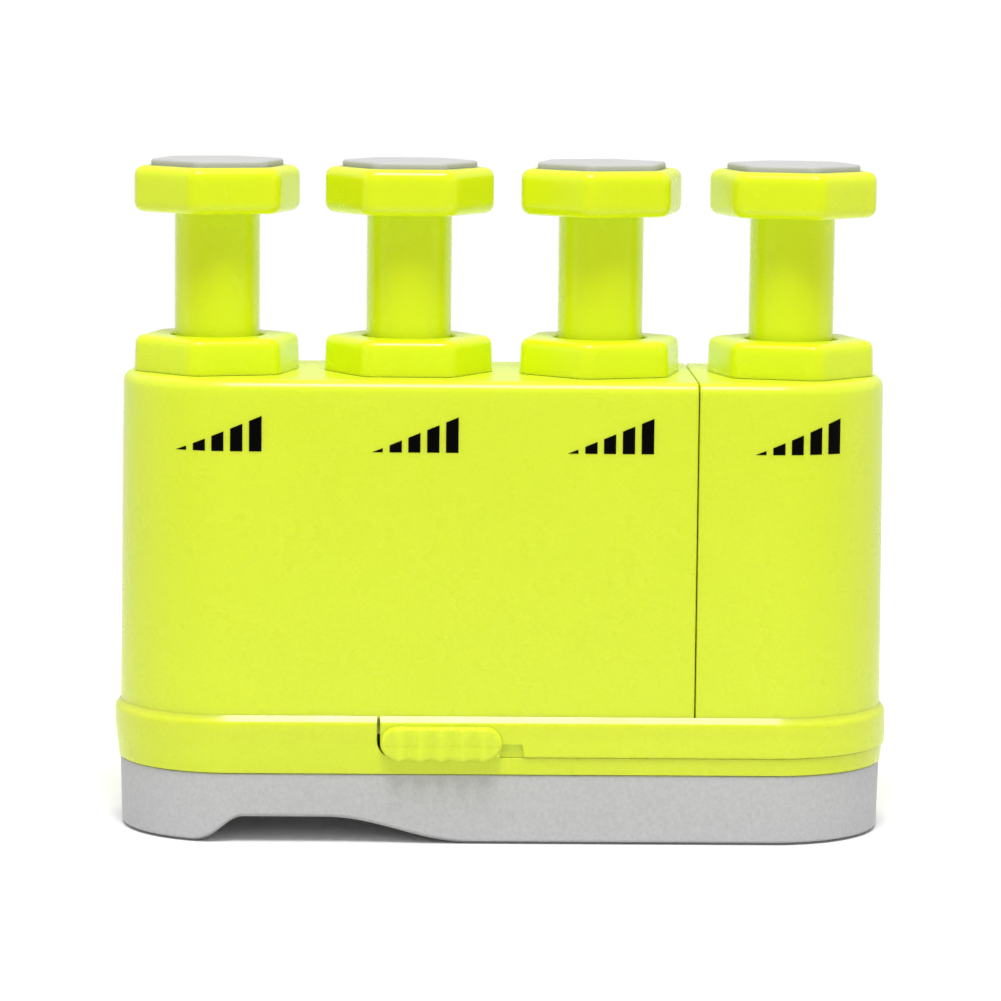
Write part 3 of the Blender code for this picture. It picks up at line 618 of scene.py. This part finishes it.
def make_tray(finish):
    left = SLIT_X - SLIT_WIDTH / 2
    bm = band_trough(GRIP_HIGH.z + GRIP_SEAM, BAND_UNDERCUT, TRAY_FLOOR_Z)
    bm = carve(bm, [drawer_room(left, SLIT_CORNER + SLIT_WIDTH / 2, TRAY_RIM_Z)])
    soften_slit(bm, left)
    clear = left + SLIT_CORNER + 2 * SLIT_WIDTH
    strip = edges_where(bm, lambda co: abs(co.z - TRAY_RIM_Z) < WELD and co.x > left + SLIT_CORNER
                        and on_rim(co, HALF_DEPTH - BAND_UNDERCUT + TRAY_STRIP_LEAN))
    round_edges(bm, [edge for edge in strip if max(v.co.x for v in edge.verts) > clear], STRIP_EDGE_ROUND,
                segments=3)
    finish_piece("band_tray", bm, finish, "base", "lime_plastic", "base_tray")


def make_drawer(finish):
    left = SLIT_X + SLIT_WIDTH / 2
    bm = band_trough(DRAWER_LOW.z, 0.0, DRAWER_FLOOR_Z)
    foot = edges_where(bm, lambda co: co.z < DRAWER_LOW.z + WELD and on_rim(co, HALF_DEPTH))
    round_edges(bm, foot, DRAWER_FOOT_ROUND, segments=4)
    bm = carve(bm, [drawer_room(left, SLIT_CORNER, DRAWER_LOW.z)], "INTERSECT")
    soften_slit(bm, left)
    tongue = box_shape((DRAWER_LOW.x, -TONGUE_HALF_WIDTH, DRAWER_LOW.z + WELD),
                       (left + SLIT_CORNER + HOUSING_WALL, TONGUE_HALF_WIDTH, DRAWER_FLOOR_Z - WELD))
    bm = carve(bm, [tongue], "UNION")
    below, above = DRAWER_LOW.z - BAND_WALL, DRAWER_FLOOR_Z + BAND_WALL
    slot = [rod_shape((x, 0), SLOT_HALF_WIDTH, below, above) for x in (SLOT_LEFT, 0.0)]
    slot.append(box_shape((SLOT_LEFT, -SLOT_HALF_WIDTH, below), (0.0, SLOT_HALF_WIDTH, above)))
    notch = box_shape((LOCK_LOW.x + STEM_INSET, -HALF_DEPTH - BAND_WALL, below),
                      (LOCK_HIGH.x + NOTCH_REACH, NOTCH_DEPTH - HALF_DEPTH, DRAWER_LOW.z + NOTCH_HEIGHT))
    for vert in notch.verts:
        if vert.co.x > 0 and vert.co.z < DRAWER_LOW.z:
            vert.co.x += NOTCH_SLANT
    screws = [rod_shape((EXTENSION_SCREW_X + side * EXTENSION_SCREW_STEP, 0), SCREW_HOLE_RADIUS, below,
                        DRAWER_LOW.z + SCREW_HOLE_DEPTH, segments=32) for side in (-1, 1)]
    bm = carve(bm, [*slot, notch, *screws])
    finish_piece("sliding_drawer", bm, finish, "extension", "lime_plastic", "extension_drawer")


# Housing blocks -------------------------------------------
def make_housing(name, node, face_x, side, cells, body, finish):
    """A block with a flat seam face, drafted sides, a rounded top edge and a hollow open at its foot."""
    low, high = FIXED_LOW.z, HOUSING_TOP_Z
    bm = bmesh.new()
    foot = stadium_face(bm, -FIXED_LOW.y - FOOT_REBATE, low)
    face = extrude_to(bm, foot, REBATE_TOP_Z)
    face = extrude_to(bm, face, REBATE_TOP_Z, FOOT_REBATE)
    extrude_to(bm, face, high, -HOUSING_LEAN)
    cut = bmesh.ops.bisect_plane(bm, geom=[*bm.verts, *bm.edges, *bm.faces], dist=WELD, clear_outer=True,
                                 plane_co=(face_x, 0, 0), plane_no=(-side, 0, 0))["geom_cut"]
    bmesh.ops.contextual_create(bm, geom=[item for item in cut if isinstance(item, bmesh.types.BMEdge)])
    top = edges_where(bm, lambda co: co.z > high - WELD)
    at_seam = edges_where(bm, lambda co: abs(co.x - face_x) < WELD)
    round_edges(bm, [edge for edge in top if edge not in at_seam], HOUSING_TOP_ROUND, segments=10)
    seam = edges_where(bm, lambda co: abs(co.x - face_x) < WELD)
    above_rebate = [edge for edge in seam if max(v.co.z for v in edge.verts) > REBATE_TOP_Z + WELD]
    round_edges(bm, above_rebate, SEAM_ROUND, segments=3)
    bm.faces.ensure_lookup_table()
    foot = next(face for face in bm.faces if face.calc_center_median().z < low + WELD)
    inset(bm, foot, HOUSING_WALL - FOOT_REBATE)
    extrude_to(bm, foot, high - HOUSING_WALL, -HOUSING_LEAN)
    holes = [rod_shape((CELL_X[cell], 0), SLEEVE_HOLE_RADIUS, high - 2 * HOUSING_WALL, high + HOUSING_WALL)
             for cell in cells]
    bm = carve(bm, holes)
    finish_piece(name, bm, finish, body, "lime_plastic", node)


# Palm grip ------------------------------------------------
def arch_lift(x):
    """Height of the arch over the sole: an S up on the left, a level crown and a longer S down."""
    rising = (x - ARCH_LEFT) / ARCH_RISE
    falling = (ARCH_LEFT + ARCH_RISE + ARCH_CROWN + ARCH_FALL - x) / ARCH_FALL
    share = max(0.0, min(1.0, max(0.0, rising) ** ARCH_START, falling))
    return ARCH_HEIGHT * (1 - math.cos(math.pi * share)) / 2


def make_grip(finish):
    bm = bmesh.new()
    half_depth = GRIP_HIGH.y - GRIP_TAPER
    sole = stadium_face(bm, half_depth - SOLE_INSET, 0.0)
    face = extrude_to(bm, sole, SOLE_STEP)
    face = extrude_to(bm, face, SOLE_STEP, SOLE_INSET)
    extrude_to(bm, face, GRIP_HIGH.z, GRIP_TAPER)
    bmesh.ops.recalc_face_normals(bm, faces=bm.faces)
    rim = edges_where(bm, lambda co: abs(co.z - SOLE_STEP) < WELD and on_rim(co, half_depth))
    round_edges(bm, rim, GRIP_EDGE_ROUND, segments=6)
    round_edges(bm, edges_where(bm, lambda co: co.z > GRIP_HIGH.z - WELD), GRIP_TOP_ROUND, segments=3)
    slices = round((ARCH_RISE + ARCH_CROWN + ARCH_FALL) / ARCH_SLICE)
    for index in range(slices + 1):
        place = (ARCH_LEFT + index * ARCH_SLICE, 0, 0)
        bmesh.ops.bisect_plane(bm, geom=[*bm.verts, *bm.edges, *bm.faces], dist=WELD, plane_co=place,
                               plane_no=(1, 0, 0))
    for vert in bm.verts:
        if vert.co.z < SOLE_STEP + GRIP_EDGE_ROUND + WELD:
            vert.co.z += arch_lift(vert.co.x)
    finish_piece("arched_grip", bm, finish, "base", "grey_soft_grip", "palm_grip")


# Lock slider ----------------------------------------------
def pad_station(share, radius, half_straight):
    """Distance along the pad and half its height there, for a share from -1 to 1 of its outline."""
    quarter = radius * math.pi / 2
    along = abs(share) * (half_straight + quarter)
    if along <= half_straight:
        return math.copysign(along, share), radius
    angle = (along - half_straight) / radius
    return math.copysign(half_straight + radius * math.sin(angle), share), radius * math.cos(angle)


def flute(x):
    """One over a ridge and nought between two, within the fluted stretch."""
    reach = FLUTE_COUNT * FLUTE_PITCH / 2
    if abs(x) > reach:
        return 0.0
    return (1 + math.cos(2 * math.pi * x / FLUTE_PITCH)) / 2


def make_lock_pad(finish):
    """A lying stadium pad: flutes across its face, a fine crease along it and a scalloped lower edge."""
    middle_x = (LOCK_LOW.x + LOCK_HIGH.x) / 2
    radius = LOCK_PAD_HEIGHT / 2
    middle_z = LOCK_PAD_FOOT_Z + radius
    half_straight = (LOCK_HIGH.x - LOCK_LOW.x) / 2 - radius
    front = LOCK_LOW.y + FLUTE_DEPTH
    bm = bmesh.new()
    bmesh.ops.create_grid(bm, x_segments=LOCK_PAD_ALONG, y_segments=LOCK_PAD_UP, size=1.0)
    for vert in bm.verts:
        x, half_height = pad_station(vert.co.x, radius, half_straight)
        height = math.sin(vert.co.y * math.pi / 2) * half_height
        spine = max(-half_straight, min(half_straight, x))
        from_edge = max(0.0, radius - math.hypot(x - spine, height))
        away = max(0.0, LOCK_PAD_EDGE_ROUND - from_edge)
        sunk = LOCK_PAD_EDGE_ROUND - math.sqrt(max(0.0, LOCK_PAD_EDGE_ROUND ** 2 - away ** 2))
        ridge = flute(x)
        crease = height - CREASE_RISE - CREASE_WAVE * ridge
        groove = CREASE_DEPTH * math.exp(-(crease / CREASE_WIDTH) ** 2)
        if height < 0:
            height -= SCALLOP * ridge * (height / radius) ** 2
        vert.co = (middle_x + x, front + sunk + groove - FLUTE_DEPTH * ridge, middle_z + height)
    bmesh.ops.remove_doubles(bm, verts=bm.verts, dist=WELD)
    rim = [edge for edge in bm.edges if edge.is_boundary]
    made = bmesh.ops.extrude_edge_only(bm, edges=rim)["geom"]
    for item in made:
        if isinstance(item, bmesh.types.BMVert):
            item.co.y = -HALF_DEPTH - LOCK_PAD_BACK
    bmesh.ops.contextual_create(bm, geom=[edge for edge in bm.edges if edge.is_boundary])
    stem_top = DRAWER_LOW.z + NOTCH_HEIGHT - GAP
    stem = box_shape((LOCK_LOW.x + STEM_INSET + GAP, -HALF_DEPTH - 2 * GAP, stem_top - STEM_HEIGHT),
                     (LOCK_HIGH.x - GAP, NOTCH_DEPTH - HALF_DEPTH - GAP, stem_top))
    bm = carve(bm, [stem], "UNION")
    finish_piece("fluted_lock", bm, finish, "lock", "lime_plastic", "lock_slider")


# Plunger cells --------------------------------------------
def hexagon_rim(bm, apothem, corner, z):
    """A closed wire: a hexagon with rounded corners, flat to the front."""
    place = Matrix.Translation((0, 0, z)) @ Matrix.Rotation(math.pi / 2, 4, "Z")
    made = bmesh.ops.create_circle(bm, cap_ends=True, segments=6, radius=apothem / math.cos(math.pi / 6),
                                   matrix=place)
    bmesh.ops.bevel(bm, geom=made["verts"], offset=corner * math.tan(math.pi / 6), offset_type="OFFSET",
                    segments=CORNER_SEGMENTS, profile=0.5, affect="VERTICES", material=-1)
    face = next(item for item in bm.faces if all(abs(v.co.z - z) < WELD for v in item.verts))
    edges = list(face.edges)
    bmesh.ops.delete(bm, geom=[face], context="FACES_ONLY")
    return edges


def circle_rim(bm, radius, z):
    place = Matrix.Translation((0, 0, z)) @ Matrix.Rotation(math.pi / RIM_POINTS, 4, "Z")
    made = bmesh.ops.create_circle(bm, cap_ends=False, segments=RIM_POINTS, radius=radius, matrix=place)
    return list(dict.fromkeys(edge for vert in made["verts"] for edge in vert.link_edges))


def stacked(profile, closed=False):
    """Bridge circles (radius, z) and hexagons (apothem, corner, z), the last to the first or both capped.

    The rims are bridged while they stand well apart, and then take their own heights.
    """
    bm = bmesh.new()
    rims = []
    for index, rim in enumerate(profile):
        make = circle_rim if len(rim) == 2 else hexagon_rim
        rims.append(make(bm, *rim[:-1], index * RIM_SPACING))
    rim_verts = [{vert for edge in rim for vert in edge.verts} for rim in rims]
    following = rims[1:] + rims[:1] if closed else rims[1:]
    for first, second in zip(rims, following):
        bmesh.ops.bridge_loops(bm, edges=first + second)
    if not closed:
        for rim in (rims[0], rims[-1]):
            bmesh.ops.contextual_create(bm, geom=rim)
    for verts, shape in zip(rim_verts, profile):
        for vert in verts:
            vert.co.z = shape[-1]
    bmesh.ops.recalc_face_normals(bm, faces=bm.faces)
    return bm, rims


def soft_edge(apothem, z, reach, upper):
    """Hexagon rims round a soft edge whose rounding runs out gently into both faces."""
    rims = []
    for step in range(ROUNDING_STEPS + 1):
        angle = step / ROUNDING_STEPS * math.pi / 2
        inward = reach * (1 - max(0.0, math.cos(angle)) ** (2 / ROUNDING_SQUARENESS))
        down = reach * (1 - math.sin(angle) ** (2 / ROUNDING_SQUARENESS))
        corner = max(HEX_CORNER - inward * ROUNDING_CORNER_SHARE, HEX_CORNER_LEAST)
        rims.append((apothem - inward, corner, z - down if upper else z + down))
    return rims if upper else rims[::-1]


def set_in_cell(bm, cell):
    """Turn a shape about its own axis and move it to its cell."""
    turn = Matrix.Rotation(math.radians(CELL_YAW[cell]), 4, "Z")
    bmesh.ops.transform(bm, matrix=Matrix.Translation((CELL_X[cell], 0, 0)) @ turn, verts=bm.verts)


def make_piston(cell, finish):
    """Head with the pad's recess, round shaft, key flange at the foot and the spring's bore."""
    apothem = PISTON_HIGH.y
    foot, top = PISTON_LOW.z, PISTON_HIGH.z
    head = top - HEAD_HEIGHT
    flange = foot + FLANGE_HEIGHT
    recess = PAD_HIGH.y + GAP
    bm = stacked([
        (SPRING_BORE_RADIUS, foot + SPRING_BORE_DEPTH),
        (SPRING_BORE_RADIUS, foot),
        (FLANGE_APOTHEM, FLANGE_CORNER, foot),
        (FLANGE_APOTHEM, FLANGE_CORNER, flange),
        (SHAFT_RADIUS, flange),
        (SHAFT_RADIUS, head),
        *soft_edge(apothem, head, HEAD_EDGE_ROUND, False),
        *soft_edge(apothem, top, HEAD_EDGE_ROUND, True),
        (recess, PAD_CORNER + GAP, top),
        (recess, PAD_CORNER + GAP, top - PAD_RECESS)])[0]
    set_in_cell(bm, cell)
    finish_piece(f"plunger_{cell}", bm, finish, f"plunger_{cell}", "lime_plastic", f"piston_{cell}")


def make_collar(cell, finish):
    """Hexagon collar over its sleeve, with the shaft hole, the key bore and the wider bore at the foot."""
    apothem = COLLAR_HIGH.y
    top = COLLAR_HIGH.z
    seat = top - COLLAR_HEIGHT
    stop = PISTON_LOW.z + FLANGE_HEIGHT + GAP
    key_foot = stop - KEY_BORE_LENGTH - GAP
    key, key_corner = FLANGE_APOTHEM + GAP, FLANGE_CORNER + GAP
    groove_top = seat - GROOVE_DROP
    groove_foot = groove_top - GROOVE_WIDTH
    bm, rims = stacked([
        (COLLAR_HOLE_RADIUS, top),
        (COLLAR_HOLE_RADIUS, stop),
        (key, key_corner, stop),
        (key, key_corner, key_foot),
        (THREAD_BORE_RADIUS, key_foot),
        (THREAD_BORE_RADIUS, COLLAR_LOW.z),
        (SLEEVE_RADIUS, COLLAR_LOW.z),
        (SLEEVE_RADIUS, groove_foot),
        (GROOVE_RADIUS, groove_foot),
        (GROOVE_RADIUS, groove_top),
        (SLEEVE_RADIUS, groove_top),
        (SLEEVE_RADIUS, seat),
        (apothem, HEX_CORNER, seat),
        *soft_edge(apothem - COLLAR_DRAFT, top, COLLAR_TOP_ROUND, True)], closed=True)
    round_edges(bm, rims[0], COLLAR_HOLE_ROUND, segments=3)
    set_in_cell(bm, cell)
    finish_piece(f"collar_{cell}", bm, finish, f"collar_{cell}", "lime_plastic", f"tension_collar_{cell}")


def make_pad(cell, finish):
    """A soft rounded hexagon with a rolled rim and a low crown."""
    apothem = PAD_HIGH.y
    rim_z = PAD_HIGH.z - PAD_CROWN
    profile = [(apothem, PAD_CORNER, PAD_LOW.z), (apothem, PAD_CORNER, rim_z)]
    for inward, rise in PAD_CROWN_STEPS:
        profile.append((apothem - inward, PAD_CORNER - PAD_CORNER_FALL * inward, rim_z + rise * PAD_CROWN))
    bm, rims = stacked(profile)
    round_edges(bm, rims[1], PAD_RIM_ROUND, segments=6)
    set_in_cell(bm, cell)
    finish_piece(f"pad_{cell}", bm, finish, f"plunger_{cell}", "grey_soft_grip", f"finger_pad_{cell}")


def make_spring(cell, finish):
    """A wound spring in two pieces, upper and lower, split at a share of its height; neither is attached to
    a body.
    """
    low = SPRING_LOW.z + SPRING_WIRE / 2
    high = SPRING_HIGH.z - SPRING_WIRE / 2
    radius = SPRING_HIGH.y - SPRING_WIRE / 2
    open_rise = (high - low - 2 * SPRING_CLOSED_RISE) / SPRING_OPEN_TURNS
    split = low + SPRING_SPLIT * (high - low)
    lower_open = (split - low - SPRING_CLOSED_RISE) / open_rise
    upper_open = SPRING_OPEN_TURNS - lower_open
    windings = {"lower": ((1.0, SPRING_CLOSED_RISE), (lower_open, open_rise)),
                "upper": ((upper_open, open_rise), (1.0, SPRING_CLOSED_RISE))}
    start_turn = {"lower": 0.0, "upper": 1.0 + lower_open}
    start_z = {"lower": low, "upper": split}
    for part, stretches in windings.items():
        bm = bmesh.new()
        upright = Matrix.Translation((radius, 0, start_z[part])) @ Matrix.Rotation(math.pi / 2, 4, "X")
        made = bmesh.ops.create_circle(bm, cap_ends=True, segments=WIRE_SEGMENTS, radius=SPRING_WIRE / 2,
                                       matrix=upright)
        turn = Matrix.Rotation(2 * math.pi * start_turn[part], 4, "Z")
        bmesh.ops.transform(bm, matrix=turn, verts=made["verts"])
        end = list(made["verts"][0].link_faces[0].edges)
        for turns, rise in stretches:
            steps = max(2, round(turns * SPRING_STEPS))
            spun = bmesh.ops.spin(bm, geom=end, cent=(0, 0, 0), axis=(0, 0, 1), angle=2 * math.pi * turns,
                                  steps=steps, dvec=(0, 0, rise * turns / steps), use_duplicate=False)
            end = [item for item in spun["geom_last"] if isinstance(item, bmesh.types.BMEdge)]
        bmesh.ops.contextual_create(bm, geom=end)
        set_in_cell(bm, cell)
        piece = finish_piece(f"spring_{cell}_{part}", bm, finish, None, "spring_steel", f"spring_{cell}")
        if part == "upper":
            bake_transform(piece)
        else:
            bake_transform(piece)


def make_cells(finishes):
    for cell in CELLS:
        make_piston(cell, finishes["plunger"])
        make_collar(cell, finishes["plunger"])
        make_pad(cell, finishes["pad"])
        make_spring(cell, finishes["steel"])


# Level marks ----------------------------------------------
def wall_depth(x, z):
    """Half the block's depth at a place on its drafted wall, less where an end curves away."""
    share = (z - REBATE_TOP_Z) / (HOUSING_TOP_Z - REBATE_TOP_Z)
    half_depth = -FIXED_LOW.y - HOUSING_LEAN * share
    beyond = max(0.0, abs(x) - END_X)
    return math.sqrt(half_depth ** 2 - beyond ** 2)


def make_marks(cell, finish):
    """Five printed bars of rising height that follow the front wall."""
    bm = bmesh.new()
    for left, right in MARK_BARS:
        corners = ((left, 0.0), (right, 0.0), (right, right * MARK_RISE),
                   (left, max(left * MARK_RISE, MARK_LEAST)))
        bm.faces.new([bm.verts.new((MARK_LEFT[cell] + x, 0, MARK_BASE_Z + z)) for x, z in corners])
    for index in range(1, round(MARK_BARS[-1][1] / MARK_SLICE)):
        bmesh.ops.bisect_plane(bm, geom=[*bm.verts, *bm.edges, *bm.faces], dist=WELD,
                               plane_co=(MARK_LEFT[cell] + index * MARK_SLICE, 0, 0), plane_no=(1, 0, 0))
    for vert in bm.verts:
        vert.co.y = MARK_SUNK - wall_depth(vert.co.x, vert.co.z)
    made = bmesh.ops.extrude_face_region(bm, geom=[*bm.faces, *bm.edges])["geom"]
    raised = [item for item in made if isinstance(item, bmesh.types.BMVert)]
    bmesh.ops.translate(bm, verts=raised, vec=(0, -MARK_THICKNESS - MARK_SUNK, 0))
    finish_piece(f"level_marks_{cell}", bm, finish, CARRIED_BY[cell], "lime_plastic")


# Inner solids that keep their shape -----------------------
def dress_inner_nodes(finishes):
    """Give the carriers, seats, rings and screws their finishes on their own solids."""
    kinds = {"carrier": "natural", "spring_seat": "natural", "retaining_ring": "steel", "screw": "steel"}
    for name, node in frame["nodes"].items():
        for word, finish in kinds.items():
            if word in name:
                node.data.materials.clear()
                node.data.materials.append(finishes[finish])


# Stage, light and camera ----------------------------------
def seen_directly(graph):
    """One for rays from the camera, from gloss and through glass, and one for those from gloss alone."""
    path = graph.add("ShaderNodeLightPath").outputs
    seen = graph.math("MAXIMUM", path["Is Camera Ray"], path["Is Glossy Ray"])
    return graph.math("MAXIMUM", seen, path["Is Transmission Ray"]), path["Is Glossy Ray"]


def make_floor():
    """A white floor that keeps the contact shadow and runs out to plain white all round."""
    bm = bmesh.new()
    bmesh.ops.create_circle(bm, cap_ends=True, segments=64, radius=FLOOR_RADIUS)
    mesh = bpy.data.meshes.new("floor")
    bm.to_mesh(mesh)
    bm.free()
    floor = bpy.data.objects.new("floor", mesh)
    floor.location.z = -FLOOR_DROP
    bpy.context.scene.collection.objects.link(floor)
    material = bpy.data.materials.new("white_floor")
    material.use_nodes = True
    tree = material.node_tree
    tree.nodes.clear()
    graph = Graph(tree)
    seen, mirrored = seen_directly(graph)
    tone = graph.remap(seen, 0.0, 1.0, FLOOR_BOUNCE, FLOOR_TONE)
    paint = graph.add("ShaderNodeBsdfDiffuse", {"Color": tone}).outputs["BSDF"]
    position = graph.position()
    forward = graph.add("ShaderNodeSeparateXYZ", {"Vector": position}).outputs["Y"]
    dim = graph.remap(forward, FRONT_DIM_FROM, FRONT_DIM_TO, 1.0, FRONT_MIRRORED)
    white = graph.mix(mirrored, 1.0, dim)
    strength = graph.mix(seen, FLOOR_AMBIENT, white)
    glow = graph.add("ShaderNodeEmission", {"Strength": strength}).outputs["Emission"]
    distance = graph.add("ShaderNodeVectorMath", {0: position}, operation="LENGTH").outputs["Value"]
    away = graph.remap(distance, FLOOR_LIT_RADIUS, FLOOR_PLAIN_RADIUS, 0.0, 1.0)
    mixed = graph.add("ShaderNodeMixShader", {0: away, 1: paint, 2: glow}).outputs["Shader"]
    graph.add("ShaderNodeOutputMaterial", {"Surface": mixed})
    mesh.materials.append(material)


def make_world():
    """White where it is seen, dimmer in the gloss before and behind, and a soft light on the object."""
    world = bpy.data.worlds.new("studio")
    bpy.context.scene.world = world
    world.use_nodes = True
    graph = Graph(world.node_tree)
    background = world.node_tree.nodes["Background"]
    background.inputs["Color"].default_value = (1.0, 1.0, 1.0, 1.0)
    seen, mirrored = seen_directly(graph)
    direction = graph.add("ShaderNodeTexCoord").outputs["Generated"]
    towards = graph.add("ShaderNodeSeparateXYZ", {"Vector": direction}).outputs
    front = graph.remap(towards["Y"], *FRONT_MIRROR_SPAN, 1.0, FRONT_MIRRORED)
    back = graph.remap(towards["Y"], *BACK_MIRROR_SPAN, 1.0, BACK_MIRRORED)
    dim = graph.math("MULTIPLY", front, back)
    white = graph.mix(mirrored, 1.0, dim)
    sideways = graph.math("MULTIPLY", towards["X"], towards["X"])
    beside = graph.remap(sideways, *SIDE_SPAN, 1.0, SIDE_SHARE)
    behind = graph.remap(towards["Y"], *BACK_SPAN, 1.0, BACK_SHARE)
    above = graph.remap(towards["Z"], *TOP_SPAN, AMBIENT, AMBIENT_TOP)
    lit = graph.math("MULTIPLY", graph.math("MULTIPLY", above, beside), behind)
    graph.feed(background.inputs["Strength"], graph.mix(seen, lit, white))


def make_softbox():
    """One soft light high in front of the object, turned towards its middle."""
    lamp = bpy.data.lights.new("top_softbox", "AREA")
    lamp.shape = "RECTANGLE"
    lamp.size = SOFTBOX_WIDTH
    lamp.size_y = SOFTBOX_LENGTH
    lamp.energy = SOFTBOX_POWER
    light = bpy.data.objects.new("top_softbox", lamp)
    out = Vector((0.0, -math.cos(SOFTBOX_ELEVATION), math.sin(SOFTBOX_ELEVATION)))
    light.location = SOFTBOX_AIM + out * SOFTBOX_DISTANCE
    light.rotation_euler = out.to_track_quat("Z", "Y").to_euler()
    light.visible_camera = False
    bpy.context.scene.collection.objects.link(light)


def make_camera():
    """The photograph's view: almost level, from just left of the middle."""
    data = bpy.data.cameras.new("photo_view")
    data.lens = CAMERA_LENS
    data.clip_start = CAMERA_NEAR
    data.clip_end = CAMERA_FAR
    camera = bpy.data.objects.new("photo_view", data)
    reach = math.cos(CAMERA_ELEVATION)
    out = Vector((-reach * math.sin(CAMERA_AZIMUTH), -reach * math.cos(CAMERA_AZIMUTH),
                  math.sin(CAMERA_ELEVATION)))
    camera.location = CAMERA_AIM + out * CAMERA_DISTANCE
    level = (-out).to_track_quat("-Z", "Y")
    camera.rotation_mode = "QUATERNION"
    camera.rotation_quaternion = level @ Quaternion((0, 0, 1), CAMERA_ROLL)
    bpy.context.scene.collection.objects.link(camera)
    bpy.context.scene.camera = camera


def main():
    finishes = make_finishes()
    make_camera()
    make_world()
    make_floor()
    make_softbox()
    make_grip(finishes["grip"])
    make_tray(finishes["body"])
    make_drawer(finishes["body"])
    make_housing("fixed_block", "main_housing", SEAM_X - SEAM_WIDTH / 2, -1, CELLS[:3], "base",
                 finishes["body"])
    make_housing("sliding_block", "extension_housing", SEAM_X + SEAM_WIDTH / 2, 1, CELLS[3:], "extension",
                 finishes["body"])
    make_lock_pad(finishes["body"])
    make_cells(finishes)
    for cell in CELLS:
        make_marks(cell, finishes["print"])
    dress_inner_nodes(finishes)
    bpy.context.scene.view_settings.view_transform = "Standard"


main()
